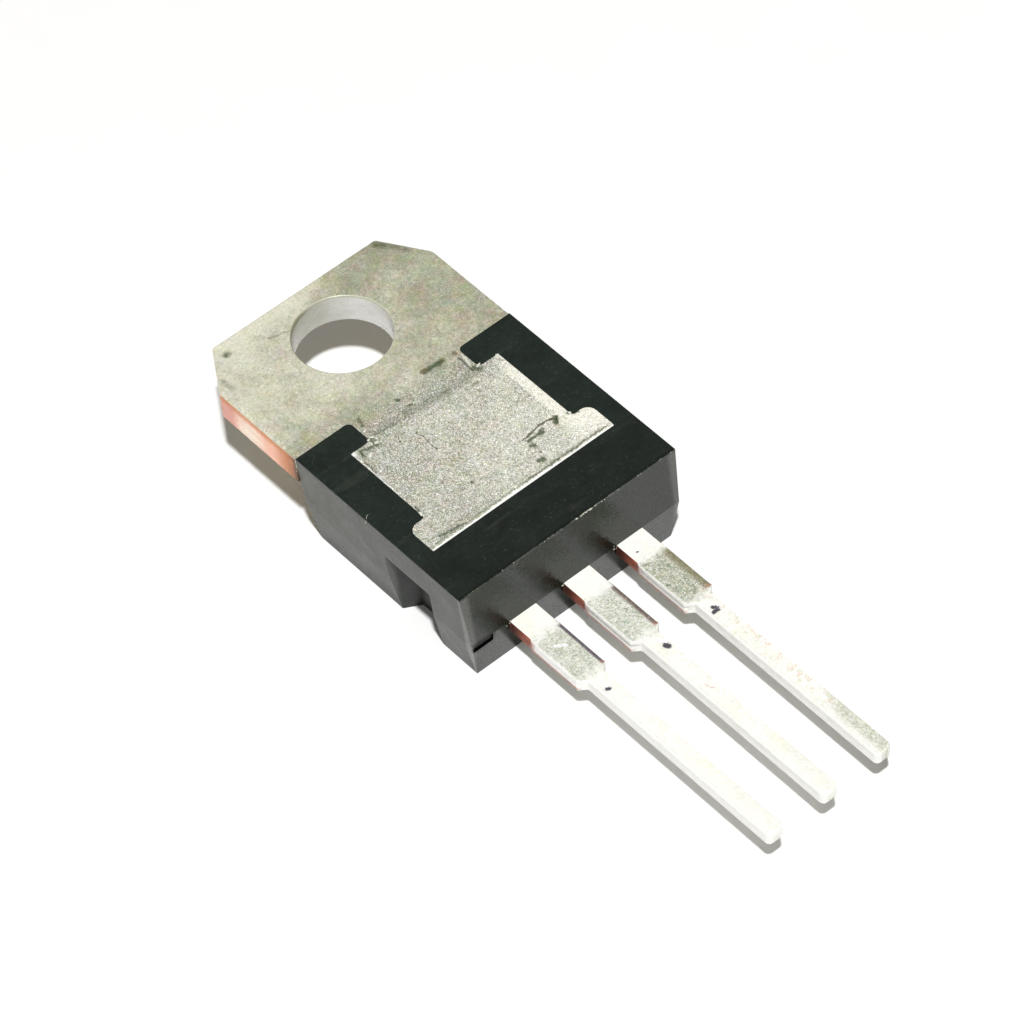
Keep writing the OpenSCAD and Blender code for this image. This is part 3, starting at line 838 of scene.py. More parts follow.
        # Burnished edges and glint marks are painted near white: a painted highlight, over a smoother real
        # finish.
        burnish_and_highlight = m.math("MAXIMUM", m.attribute("burnish_and_highlight"), masks[MarkKind.GLINT], clamp=True)
        base = m.mix(burnish_and_highlight, base, self.burnished_highlight)
        base = m.mix(m.attribute("bore"), base, self.bore(m, place))
        ragged = m.math("MULTIPLY", m.math("SUBTRACT", patchy, 0.5), 0.6)
        ragged = m.ramp(m.math("ADD", m.attribute("copper"), ragged), 0.35, 0.6)
        base = m.mix(ragged, base, self.bare(m, place))
        # Painted highlights and burnished edges lose most of their metal, so that they render near white.
        highlight_and_burnish = m.math("MAXIMUM", masks[MarkKind.PAINTED_SHEEN], m.both(grain.outputs["Glint"], m.ramp(y, 9.0, 6.8)))
        highlight_and_burnish = m.math("MAXIMUM", burnish_and_highlight, m.math("MULTIPLY", highlight_and_burnish, 0.9))
        metal = m.ramp(highlight_and_burnish, 0.0, 1.0, self.metallic, 0.05)
        metal = m.math("MAXIMUM", metal, m.math("MULTIPLY", ragged, 0.8))
        dents = m.math("ADD", masks[MarkKind.SCRATCH], masks[MarkKind.GROOVE])
        height = m.math("SUBTRACT", grain.outputs["Height"], m.math("MULTIPLY", dents, 1.5))
        rough = m.ramp(burnish_and_highlight, 0.0, 1.0, self.roughness, 0.28)
        rough = m.math("ADD", rough, m.math("MULTIPLY", m.math("SUBTRACT", grain.outputs["Tone"], 0.5), -0.3))
        normal = m.bump(height, 0.004, grain.outputs["Normal"])
        return m.finish(Base_Color=base, Metallic=metal, Roughness=rough, Normal=normal)


@dataclass(frozen=True)
class LeadTin:
    """A lead's plating: bright at the root and along the pin, coarse and grey where the tie bar was.

    The lead's own attributes give the distance out from the moulding, the distance off its middle
    line, and the sides that were sheared.
    """

    name: str
    # Colour of the painted shade on the rolled right-hand edge where the tie bar was cut.
    rolled: tuple
    pits: tuple[Mark, ...] = ()
    dull_end: float = 0.0
    side_line: float = 0.7
    bar_dark: tuple = colour(180, 184, 164)
    bar_light: tuple = colour(240, 241, 228)
    roll_fade: float = 0.08
    specks: float = 0.3
    half_wide: float = 0.685
    bar_start: float = 1.32
    bar_end: float = 3.75
    off_underside: tuple[float, float] = (0.1, 0.25)

    def sides(self, m: Material, out: object, rise: object, patchy: object) -> bpy.types.NodeSocket:
        """The sheared sides: copper at the root, tin streaked with grey and copper further out."""
        drawn_out = m.add("CombineXYZ", {0: out, 1: m.math("MULTIPLY", rise, 5.0)}).outputs[0]
        streak = m.noise(drawn_out, 2.4, 3, 0.6)
        tin = m.mix(m.ramp(streak, 0.35, 0.6), colour(246, 246, 240), colour(255, 255, 252))
        grey = m.math("ABSOLUTE", m.math("SUBTRACT", rise, 0.36))
        grey = m.both(m.ramp(grey, 0.05, 0.02), m.ramp(out, 1.2, 1.6))
        grey = m.both(grey, m.ramp(m.attribute("off"), 0.1, -0.1))
        grey = m.math("MULTIPLY", grey, m.ramp(out, 3.6, 4.1, self.side_line, 0.1))
        tin = m.mix(grey, tin, colour(140, 138, 116))
        copper = m.mix(m.ramp(streak, 0.3, 0.7), colour(120, 48, 30), colour(196, 106, 76))
        # Painted shade: the copper darkens next to the moulding.
        copper = m.mix(m.ramp(out, 1.0, 0.1), copper, colour(74, 26, 14))
        root = m.ramp(m.math("ADD", out, m.math("MULTIPLY", patchy, 0.6)), 1.85, 1.35)
        foot = m.both(m.both(m.ramp(rise, 0.18, 0.11), m.ramp(out, 3.85, 3.6)), m.ramp(out, 1.1, 1.3))
        foot = m.both(foot, m.ramp(m.attribute("off"), 0.1, -0.1))
        return m.mix(m.math("MAXIMUM", root, m.math("MULTIPLY", foot, 0.8)), tin, copper)

    def build(self, effects: Effects) -> bpy.types.Material:
        """Builds the lead's material from the shared node groups."""
        m = Material(self.name)
        place = m.place_mm()
        out, off, rise = m.attribute("out"), m.attribute("off"), m.attribute("rise")
        patchy = m.noise(place, 5.0, 4, 0.65)
        ragged = m.math("MULTIPLY", m.math("SUBTRACT", patchy, 0.5), 1.3)
        reach = m.math("ADD", out, ragged)
        bar = m.both(
            m.ramp(reach, self.bar_start - 0.3, self.bar_start + 0.3),
            m.ramp(reach, self.bar_end + 0.35, self.bar_end - 0.35),
        )
        inner = m.math("ADD", off, m.math("MULTIPLY", ragged, 0.12))
        bar = m.both(bar, m.ramp(inner, -self.half_wide - 0.03, -self.half_wide + 0.13))
        end = m.ramp(m.math("ADD", off, m.math("MULTIPLY", ragged, 0.2)), -0.3, 0.1)
        end = m.both(m.ramp(m.math("ADD", reach, off), 10.0, 11.4), end)
        coarse = m.math("MAXIMUM", bar, m.math("MULTIPLY", end, self.dull_end), clamp=True)
        grain = m.grain(effects, place, 22.0, 0.3, m.ramp(coarse, 0, 1, 0.12, 0.42))
        cloud = m.group(effects.mottle, Place=place, Clouds_per_mm=0.9, Contrast=1.6)
        bright = m.mix(m.ramp(cloud.outputs["Value"], 0.2, 0.6), colour(253, 252, 238), colour(255, 255, 250))
        spread = m.ramp(grain.outputs["Tone"], 0.34, 0.66)
        dull = m.mix(spread, self.bar_dark, self.bar_light)
        dull = m.mix(m.ramp(out, 8.0, 10.0, 0.0, 0.55), dull, colour(236, 236, 222))
        dull = m.mix(0.1, dull, grain.outputs["Hue"], "OVERLAY")
        specks = m.both(m.ramp(m.noise(place, 6.5, 5, 0.72), 0.48, 0.62), m.ramp(out, 3.4, 4.0))
        specks = m.both(specks, m.ramp(off, -0.35, 0.2, 0.3, 1.2))
        warm = m.ramp(m.noise(place, 3.1, 3, 0.6), 0.42, 0.58)
        warm = m.mix(warm, colour(216, 226, 198), colour(238, 208, 186))
        bright = m.mix(m.math("MULTIPLY", specks, self.specks), bright, warm)
        base = m.mix(coarse, bright, dull)
        # Painted glints: glint crystals in the coarse zones are painted white.
        base = m.mix(m.math("MULTIPLY", grain.outputs["Glint"], m.math("MULTIPLY", coarse, 0.9)), base, WHITE)
        lane = m.math("ABSOLUTE", m.math("ADD", off, 0.27))
        thin = m.both(m.ramp(lane, 0.06, 0.02), m.ramp(out, 4.0, 4.6))
        base = m.mix(m.both(thin, m.ramp(patchy, 0.35, 0.6, 0.0, 0.3)), base, colour(214, 214, 208))
        # Painted shade: the rolled right-hand edge of the tie-bar zone takes the rolled colour, turning
        # coppery towards the shoulder.
        edge = m.ramp(off, self.half_wide - 0.22 - self.roll_fade, self.half_wide - 0.15)
        edge = m.both(edge, m.ramp(out, self.bar_start - 0.1, self.bar_start + 0.1))
        edge = m.both(edge, m.ramp(out, 3.76, 3.66))
        rolled = m.mix(m.ramp(out, 3.5, 3.66, 0.0, 0.5), self.rolled, colour(196, 112, 92))
        base = m.mix(m.math("MULTIPLY", edge, 0.9), base, rolled)
        along = m.add("CombineXYZ", {0: off, 1: out}).outputs[0]
        nudge = m.add("TexNoise", {"Vector": place, "Scale": 11.0, "Detail": 3.0}).outputs["Color"]
        nudge = m.vector("MULTIPLY", m.vector("SUBTRACT", nudge, (0.5, 0.5, 0.5)), (0.16, 0.16, 0.0))
        along = m.vector("ADD", along, nudge)
        above = m.ramp(rise, *self.off_underside)
        masks = m.strokes(effects, along, self.pits)
        masks = {kind: m.both(mask, above) for kind, mask in masks.items()}
        base = m.mix(masks[MarkKind.STAIN], base, colour(56, 52, 66))
        base = m.mix(masks[MarkKind.RUST], base, colour(206, 150, 128))
        base = m.mix(masks[MarkKind.GLINT], base, WHITE)
        sheared = m.ramp(m.attribute("sheared"), 0.5, 0.9)
        base = m.mix(sheared, base, self.sides(m, out, rise, patchy))
        height = m.math("SUBTRACT", grain.outputs["Height"], masks[MarkKind.STAIN])
        normal = m.bump(height, 0.004, grain.outputs["Normal"])
        rough = m.ramp(coarse, 0, 1, 0.5, 0.42)
        return m.finish(Base_Color=base, Metallic=0.03, Roughness=rough, Normal=normal)


@dataclass(frozen=True)
class Epoxy:
    """Fine matt black moulding compound, slightly green.

    The side walls are painted paler and the wall that the leads leave darker, as painted light and shade;
    that wall is also smoother.
    """

    name: str = "moulding_epoxy"
    light: tuple = colour(20, 37, 27)
    dark: tuple = colour(2, 10, 7)
    # The walls' colours are painted light and shade: the lead end wall darker, the side walls paler.
    wall: tuple = colour(5, 17, 5)
    wall_polish: float = 0.25
    side: tuple = colour(77, 79, 74)
    smudge: tuple = colour(66, 70, 62)
    scar: tuple[float, float] = (-4.4, 1.72)
    scar_half_length: float = 0.3
    rubbed: Mark = Mark(MarkKind.SCRATCH, (4.9, 2.9), (4.2, 2.4), 0.06, 0.35, 0.9)

    def build(self, effects: Effects) -> bpy.types.Material:
        """Builds the moulding's material from the shared node groups."""
        m = Material(self.name)
        place = m.place_mm()
        x, y, z = m.axes(place)
        grain = m.grain(effects, place, 20.0, 0.03, 0.05)
        cloud = m.group(effects.mottle, Place=place, Clouds_per_mm=0.9, Contrast=1.6)
        back = m.ramp(z, 4.38, 4.47)
        base = m.mix(cloud.outputs["Value"], self.dark, self.light)
        # Painted shade: the back darkens towards the lead end.
        low = m.both(m.ramp(y, 2.6, 0.6), 0.6)
        base = m.mix(low, base, self.dark)
        # Painted light and shade: the walls take their own darker and paler colours.
        on_side = m.ramp(m.math("ABSOLUTE", x), 4.6, 4.85)
        base = m.mix(m.math("SUBTRACT", 1.0, back), base, m.mix(on_side, self.wall, self.side))
        drag = m.noise(m.vector("MULTIPLY", place, (0.35, 1.6, 1)), 1.1, 4, 0.6)
        base = m.mix(m.both(m.ramp(drag, 0.55, 0.8, 0, 0.35), back), base, self.smudge)
        base = m.mix(m.math("MULTIPLY", grain.outputs["Glint"], 0.12), base, colour(120, 124, 118))
        wall_place = m.add("CombineXYZ", {0: y, 1: z}).outputs[0]
        rub = m.strokes(effects, wall_place, (self.rubbed,))
        base = m.mix(m.both(rub[MarkKind.SCRATCH], m.ramp(x, -4.7, -4.9)), base, colour(150, 150, 146))
        # Painted shade: the gate scar's pocket is painted near black and given metal, so that it takes no
        # diffuse light.
        end_place = m.add("CombineXYZ", {0: x, 1: z}).outputs[0]
        start = (self.scar[0] - self.scar_half_length, self.scar[1])
        stop = (self.scar[0] + self.scar_half_length, self.scar[1])
        cut = m.strokes(effects, end_place, (Mark(MarkKind.GROOVE, start, stop, 0.42, 1.0, 0.7),))
        scar = m.both(cut[MarkKind.GROOVE], m.ramp(y, -0.8, -0.9))
        base = m.mix(scar, base, colour(10, 11, 10))
        dull = m.math("MULTIPLY", scar, 0.9)
        # Painted highlight: a pale, broken line along the edge between the back and the lead end wall, weaker
        # towards the left.
        edge = m.both(m.ramp(y, -0.88, -0.915), m.ramp(z, 4.43, 4.47))
        edge = m.both(edge, m.ramp(m.noise(place, 3.0, 4, 0.6), 0.4, 0.65, 0.0, 0.45))
        base = m.mix(m.both(edge, m.ramp(x, -3.0, -0.5, 0.3, 1.0)), base, colour(150, 152, 140))
        rough = m.ramp(cloud.outputs["Value"], 0.2, 0.8, 0.42, 0.54)
        rough = m.math("SUBTRACT", rough, m.ramp(y, -0.75, -0.9, 0.0, self.wall_polish))
        normal = m.bump(grain.outputs["Height"], 0.003, grain.outputs["Normal"])
        return m.finish(Base_Color=base, Metallic=dull, Roughness=rough, IOR=1.58, Normal=normal)


@dataclass(frozen=True)
class Speck:
    """A small stray bit's finish: a resin flake, a crumb or a fibre."""

    name: str
    light: tuple
    dark: tuple
    roughness: float = 0.5

    def build(self, effects: Effects) -> bpy.types.Material:
        """Builds the material from the shared node groups."""
        m = Material(self.name)
        place = m.place_mm()
        cloud = m.group(effects.mottle, Place=place, Clouds_per_mm=5.0, Contrast=2.2)
        fine = m.noise(place, 18.0, 3, 0.6)
        base = m.mix(cloud.outputs["Value"], self.dark, self.light)
        return m.finish(Base_Color=base, Roughness=self.roughness, Normal=m.bump(fine, 0.004))


@dataclass(frozen=True)
class PlainMetal:
    """A sealed piece's metal: one grain over one colour."""

    name: str
    light: tuple
    dark: tuple
    metallic: float = 0.9
    roughness: float = 0.4
    crystals_per_mm: float = 12.0

    def build(self, effects: Effects) -> bpy.types.Material:
        """Builds the material from the shared node groups."""
        m = Material(self.name)
        grain = m.grain(effects, m.place_mm(), self.crystals_per_mm, 0.05, 0.1)
        base = m.mix(m.ramp(grain.outputs["Tone"], 0.3, 0.7), self.dark, self.light)
        normal = m.bump(grain.outputs["Height"], 0.003, grain.outputs["Normal"])
        return m.finish(
            Base_Color=base, Metallic=self.metallic, Roughness=self.roughness, Normal=normal
        )


# ---------- Header ----------


@dataclass
class Header:
    """The stamped header: the drilled tab, its neck, the exposed pad and the flange in the moulding.

    Sizes are in millimetres. Places along Y are measured from the tab's root.
    """

    low: Vector
    high: Vector
    thickness: float = 1.3
    tab_length: float = 6.35
    chamfer: tuple[float, float] = (1.2, 1.95)
    hole_radius: float = 1.9
    hole_from_end: float = 2.85
    neck: tuple[float, float] = (5.16, 1.22)
    pad_width: float = 7.0
    pad_reach: float = 6.77
    foot: tuple[float, float] = (8.56, 1.41)
    coin_depth: float = 0.4
    roll: tuple[float, float] = (0.12, 0.11)
    roll_lead_in: float = 1.25
    front_edge: float = 0.03
    hole_roll: tuple[float, float] = (0.06, 0.07)
    lip: float = 0.8
    spacing: float = 0.09
    bands: tuple[float, float] = (0.61, 3.9)
    finishes: tuple[str, str, str] = ("tab_tin", "pad_tin", "foot_tin")
    overlap: float = 0.4
    root: float = field(init=False)

    def __post_init__(self) -> None:
        """Places the tab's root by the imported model's box."""
        self.root = self.high.y / MM - self.tab_length

    @property
    def top(self) -> float:
        """Height of the back face."""
        return self.high.z / MM

    def outline(self) -> tuple[np.ndarray, np.ndarray]:
        """The outline that the back face shows, and how much of the full edge roll each point has.

        Only the tab's free edges are rolled. The moulding meets the others, which stay almost sharp.

        Returns:
            The points, anticlockwise from the tab's right-hand root, and a share from 0 to 1 for each.
        """
        half, free = self.high.x / MM, self.tab_length
        neck, neck_length = self.neck[0] / 2, self.neck[1]
        pad, reach = self.pad_width / 2, self.pad_reach
        foot, foot_top = self.foot[0] / 2, -self.pad_reach + self.foot[1]
        right = np.array(
            [
                [foot, -reach, 0.05],
                [foot, foot_top, 0.4],
                [pad, foot_top, 0.12],
                [pad, -neck_length, 0.05],
                [neck, -neck_length, 0.22],
                [neck, 0, 0.22],
                [half, 0, 0.05],
                [half, free - self.chamfer[1], 0.25],
                [half - self.chamfer[0], free, 0.2],
            ]
        )
        corners = np.concatenate([right, right[::-1] * (-1, 1, 1)])
        loop = rounded_loop(corners[:, :2], corners[:, 2])
        loop = even_loop(loop, self.spacing)
        rise = np.clip(loop[:, 1] / 0.06, 0, 1)
        share = 0.06 + 0.94 * rise * rise * (3 - 2 * rise)
        from_corner = np.clip((foot - 0.08 - np.abs(loop[:, 0])) / 0.25, 0, 1)
        lip = (self.lip + wobble(loop[:, 0], 0.35, 0.9, 11)) * from_corner
        share = np.where(loop[:, 1] < 0.01 - reach, np.maximum(share, lip), share)
        uneven = wobble(loop[:, 0] + 2 * loop[:, 1], 0.008, 2.2, 4) * share
        loop = loop + inward(loop) * np.abs(uneven)[:, None]
        return loop + (0, self.root), share

    def hole(self) -> np.ndarray:
        """The mounting hole's circle, clockwise, so that its inward normals point into the metal."""
        turn = -np.linspace(0, 2 * math.pi, 128, endpoint=False)
        centre = np.array([0, self.root + self.tab_length - self.hole_from_end])
        return centre + self.hole_radius * np.stack([np.cos(turn), np.sin(turn)], axis=1)

    def wall(self, loop: np.ndarray, share: np.ndarray, roll: tuple[float, float]) -> np.ndarray:
        """The edge's surface: a quarter ellipse off the back face, a straight wall, and a small round below.

        Args:
            loop: The edge's outline.
            share: How much of the roll each of its points has.
            roll: Width and depth of the full roll.

        Returns:
            Rings of points from the back face down to the front face.
        """
        bottom = self.top - self.thickness
        turn = np.linspace(0, math.pi / 2, 7)
        small = np.linspace(0, math.pi / 2, 4)
        inset = np.concatenate(
            [
                roll[0] * self.roll_lead_in * np.ones(1),
                roll[0] * (1 - np.sin(turn)),
                self.front_edge * (1 - np.cos(small)),
            ]
        )
        drop = np.concatenate([np.zeros(1), roll[1] * (1 - np.cos(turn))])
        high = self.top - drop[:, None] * share[None]
        low = bottom + self.front_edge * (1 - np.sin(small))[:, None] * np.ones(len(loop))
        levels = np.concatenate([high, low])
        scale = np.concatenate([np.tile(share, (len(drop), 1)), np.ones((len(small), len(loop)))])
        flat = loop[None] + inward(loop)[None] * (inset[:, None] * scale)[..., None]
        return np.concatenate([flat, levels[..., None]], axis=2)

    def plate(self) -> bpy.types.Object:
        """The plate with its rolled edges and its hole, as one closed surface."""
        loop, share = self.outline()
        hole = self.hole()
        outer = self.wall(loop, share, self.roll)
        inner = self.wall(hole, np.ones(len(hole)), self.hole_roll)
        points, faces = [], []
        count = 0
        for rings in (outer, inner):
            rows, cols = rings.shape[:2]
            points.append(rings.reshape(-1, 3))
            faces.append(grid_quads(rows, cols, first=count)[:, ::-1])
            count += rows * cols
        for row, flip in ((0, False), (-1, True)):
            flat, triangles = filled([outer[row, :, :2], inner[row, :, :2]], 0.3)
            level = np.full((len(flat), 1), outer[row, 0, 2])
            ring = len(loop) + len(hole)
            own = np.concatenate(
                [
                    np.arange(len(loop)) + (row % len(outer)) * len(loop),
                    np.arange(len(hole)) + outer.shape[0] * len(loop) + (row % len(inner)) * len(hole),
                    count + np.arange(len(flat) - ring),
                ]
            )
            points.append(np.concatenate([flat, level], axis=1)[ring:])
            count += len(flat) - ring
            faces.append(own[triangles][:, ::-1] if flip else own[triangles])
        points = np.concatenate(points)
        side = np.abs(points[:, 0]) - self.high.x / MM
        chamfer_start = self.high.y / MM - self.chamfer[1] + 0.1
        on_side = (side > -0.08) & (points[:, 2] < self.top - 0.09) & (points[:, 1] < chamfer_start)
        on_side &= points[:, 1] > self.root - 0.01
        below = np.clip((self.top - points[:, 2]) / 0.012, 0, 1)
        away = np.linalg.norm(points[:, :2] - hole.mean(axis=0), axis=1)
        in_hole = away < self.hole_radius + self.hole_roll[0] - 0.005
        by_pad = points[:, 1] < self.root - self.neck[1] + 0.05
        in_bore = in_hole & (points[:, 2] > self.top - self.thickness + 0.01)
        # Burnished: the pad's rolled edges and walls, and the hole's wall; the finish paints them near white
        # as a highlight.
        burnish_and_highlight = np.where(by_pad, below, in_bore)
        attributes = {"copper": on_side.astype(float), "burnish_and_highlight": burnish_and_highlight, "bore": in_bore.astype(float)}
        return mesh_piece("header_plate", points, faces, attributes)

    def flange(self) -> bpy.types.Object:
        """The coined flange that the moulding grips: a slab with round corners, under the pad's level."""
        half, start, end = self.foot[0] / 2, self.root - self.neck[1], self.root - self.pad_reach
        corners = np.array([[half, end], [half, start], [-half, start], [-half, end]])
        loop = even_loop(rounded_loop(corners, np.full(4, 0.12)), 0.4)
        turn = np.linspace(0, math.pi / 2, 4)
        inset = 0.04 * np.concatenate([1 - np.sin(turn), 1 - np.cos(turn)])
        low, high = self.top - self.thickness, self.top - self.coin_depth
        level = np.concatenate([high - 0.04 * (1 - np.cos(turn)), low + 0.04 * (1 - np.sin(turn))])
        flat = loop[None] + inward(loop)[None] * inset[:, None, None]
        rings = np.concatenate([flat, np.broadcast_to(level[:, None, None], (*flat.shape[:2], 1))], axis=2)
        rows, cols = rings.shape[:2]
        caps = np.stack([np.arange(cols), (rows - 1) * cols + np.arange(cols)[::-1]])
        return mesh_piece("header_flange", rings.reshape(-1, 3), [grid_quads(rows, cols)[:, ::-1], caps])

    def build(self, effects: Effects) -> None:
        """Builds and dresses the header's pieces.

        The plating is one finish in three materials, since one material can't hold all the marks.
        Each has the marks that reach its own band of the plate, so the bands meet unseen.
        """
        borders = [self.root - distance for distance in self.bands]
        plate = self.plate()
        for name, low, high in zip(self.finishes, [*borders, -math.inf], [math.inf, *borders]):
            near = tuple(
                mark
                for mark in HEADER_MARKS
                if mark.reach()[1] > low - self.overlap and mark.reach()[0] < high + self.overlap
            )
            plate.data.materials.append(TinPlate(name, near).build(effects))
            LOG.info("%s: %d marks", name, len(near))
        centres = np.empty(len(plate.data.polygons) * 3, dtype=np.float32)
        plate.data.polygons.foreach_get("center", centres)
        band = (centres.reshape(-1, 3)[:, 1:2] / MM < np.array(borders)).sum(axis=1)
        plate.data.polygons.foreach_set("material_index", band.astype(np.int32))
        place_piece(plate, TINNED_SLOT, "heat_sink_header")
        sealed = PlainMetal("sealed_tin", colour(214, 212, 196), colour(186, 184, 166), 0.5)
        dress(self.flange(), sealed.build(effects), TINNED_SLOT, "heat_sink_header")


# ---------- Leads ----------


class LeadPlace(Enum):
    """Which lead: the number of pitches that it lies from the middle."""

    LEFT = -1
    MIDDLE = 0
    RIGHT = 1


@dataclass
class Lead:
    """One flat lead, blanked from strip, with the stub of its trimmed tie bar and its shoulder.

    Sizes are in millimetres. Distances along the lead are measured out from the moulding, so that
    they are negative inside it.
    """

    place: LeadPlace
    low: Vector
    wall: float
    pits: tuple[Mark, ...] = ()
    pitch: float = 2.54
    width: float = 0.75
    wide: float = 1.27
    stub_proud: float = 0.05
    stub_from: float = 1.15
    shoulder: float = 3.7
    taper: float = 0.22
    tip_radius: float = 0.22
    embed: float = 2.0
    post: tuple[float, float] = (2.1, 1.05)
    step_from_wall: float = 0.9
    step_to: float = 2.31
    header_overlap: float = 1.3
    thickness: float = 0.55
    bottom: float = 1.37
    header_bottom: float = 3.2
    pit_depth: float = 0.05

    @property
    def length(self) -> float:
        """Free length from the moulding to the tip."""
        return self.wall - self.low.y / MM

    @property
    def joins_header(self) -> bool:
        """Whether this is the lead that is one piece with the header."""
        return self.place is LeadPlace.MIDDLE

    def stations(self) -> np.ndarray:
        """Distances out of the rings: close together where the outline turns, wider between."""
        start = -self.step_to - self.header_overlap if self.joins_header else -self.embed
        inner = -self.embed + self.post[1]
        turns = [inner, self.stub_from + 0.02, self.shoulder + self.taper / 2, self.length - 0.12]
        near = [t + np.linspace(-0.2, 0.2, 25) for t in turns]
        pits = [m.start[1] + np.linspace(-0.2, 0.2, 17) for m in self.pits]
        tip = self.length - self.tip_radius * (1 - np.sin(np.linspace(0, math.pi / 2, 12)))
        out = np.concatenate([np.arange(start, self.length, 0.07), *near, *pits, tip])
        out = np.sort(out[(out >= start) & (out <= self.length)])
        return out[np.concatenate([[True], np.diff(out) > 0.004])]

    def half_width(self, out: np.ndarray) -> np.ndarray:
        """Half the lead's width at each distance out from the moulding.

        The blanked outline is a chain of straight sides. Its average over a short window rounds
        the shoulders, and a quarter circle rounds the corners of the tip.
        """
        wide, stub, narrow = self.wide / 2, self.wide / 2 + self.stub_proud, self.width / 2
        inner = wide if self.joins_header else self.post[0] / 2
        post_end = -self.embed + self.post[1]
        stops = [-9, post_end - 0.01, post_end + 0.01, self.stub_from, self.stub_from + 0.05]
        stops += [self.shoulder, self.shoulder + self.taper, self.length + 9]
        widths = [inner, inner, wide, wide, stub, stub, narrow, narrow]
        window = np.linspace(-0.05, 0.05, 11)
        half = np.interp(out[:, None] + window, stops, widths).mean(axis=1)
        left = np.clip(self.tip_radius - (self.length - out), 0, self.tip_radius)
        return half - self.tip_radius + np.sqrt(self.tip_radius**2 - left**2)

    def levels(self, out: np.ndarray) -> tuple[np.ndarray, np.ndarray]:
        """Heights of the front and the back of the lead, with the middle lead's step up to the header."""
        front = np.full(len(out), self.bottom)
        back = front + self.thickness
        if self.joins_header:
            rise = self.header_bottom - self.bottom
            slope = math.atan2(rise, self.step_to - self.step_from_wall)
            offset = self.thickness * math.tan(slope / 2)
            front = np.interp(out, [-self.step_to, -self.step_from_wall], [self.header_bottom, self.bottom])
            back = np.interp(
                out,
                [-self.step_to + offset, -self.step_from_wall + offset],
                [self.header_bottom + self.thickness, self.bottom + self.thickness],
            )
        return front, back

    def rings(self, out: np.ndarray, half: np.ndarray) -> tuple[np.ndarray, np.ndarray]:
        """The sections' points: a rectangle with four round corners and evenly divided sides.

        The right-hand back corner is rolled over where the tie bar was cut, and the tip's edges
        are drawn in by a quarter ellipse.

        Args:
            out: Distance out of each section.
            half: Its half width.

        Returns:
            Distances off the middle line and heights, one row for each section.
        """
        front, back = self.levels(out)
        end = np.clip(1 - (self.length - out) / 0.12, 0, 1)
        draw = 0.06 * (1 - np.sqrt(1 - end**2))
        middle, depth = (front + back) / 2, (back - front) / 2 - draw
        roll_stops = [self.stub_from - 0.05, self.stub_from + 0.12, self.shoulder - 0.15, self.shoulder + 0.1]
        rolled = np.interp(out, roll_stops, [0, 1, 1, 0])
        steady = np.ones(len(out))
        radii = np.stack([0.045 + 0.09 * rolled, 0.05 * steady, 0.035 * steady, 0.035 * steady], axis=1)
        turn = np.linspace(0, math.pi / 2, 6)
        quarter = np.arange(4)[:, None] * math.pi / 2 + turn[None]
        side = np.array([1, -1, -1, 1])[None, :, None]
        up = np.array([1, 1, -1, -1])[None, :, None]
        r = radii[:, :, None]
        across = side * (half[:, None, None] - r) + r * np.cos(quarter)[None]
        level = middle[:, None, None] + up * (depth[:, None, None] - r) + r * np.sin(quarter)[None]
        corners = np.stack([across, level], axis=3)
        parts = []
        for corner, inner_points in enumerate((17, 3, 5, 3)):
            start, stop = corners[:, corner, -1], corners[:, (corner + 1) % 4, 0]
            share = np.linspace(0, 1, inner_points + 2)[1:-1][None, :, None]
            parts += [corners[:, corner], start[:, None] * (1 - share) + stop[:, None] * share]
        section = np.concatenate(parts, axis=1)
        return section[..., 0], section[..., 1]

    def pitted(self, out: np.ndarray, across: np.ndarray, level: np.ndarray) -> np.ndarray:
        """The heights with the pits pressed into the back: each is a bell, exp(-(distance / radius) ** 4)."""
        on_back = level > self.levels(out)[1][:, None] - 0.01
        for pit in (m for m in self.pits if m.kind is MarkKind.STAIN):
            away = np.hypot(across - pit.start[0], out[:, None] - pit.start[1]) / pit.half_width
            level = level - on_back * self.pit_depth * np.exp(-(away**4))
        return level

    def build(self, material: bpy.types.Material) -> bpy.types.Object:
        """Sweeps the section from inside the moulding to the tip, and dresses the lead."""
        out = self.stations()
        half = self.half_width(out)
        across, level = self.rings(out, half)
        rise = level - self.levels(out)[0][:, None]
        level = self.pitted(out, across, level)
        rows, cols = across.shape
        x = self.place.value * self.pitch + across
        y = np.repeat((self.wall - out)[:, None], cols, axis=1)
        points = np.stack([x, y, level], axis=2).reshape(-1, 3)
        caps = np.stack([np.arange(cols)[::-1], (rows - 1) * cols + np.arange(cols)])
        sheared = np.abs(across) > half[:, None] - 0.03
        attributes = {
            "sheared": sheared.astype(float).ravel(),
            "out": np.repeat(out, cols),
            "off": across.ravel(),
            "rise": rise.ravel(),
        }
        label = self.place.name.lower()
        node = "heat_sink_header" if self.joins_header else label + "_lead"
        piece = mesh_piece(label + "_lead_form", points, [grid_quads(rows, cols), caps], attributes)
        return dress(piece, material, TINNED_SLOT, node)


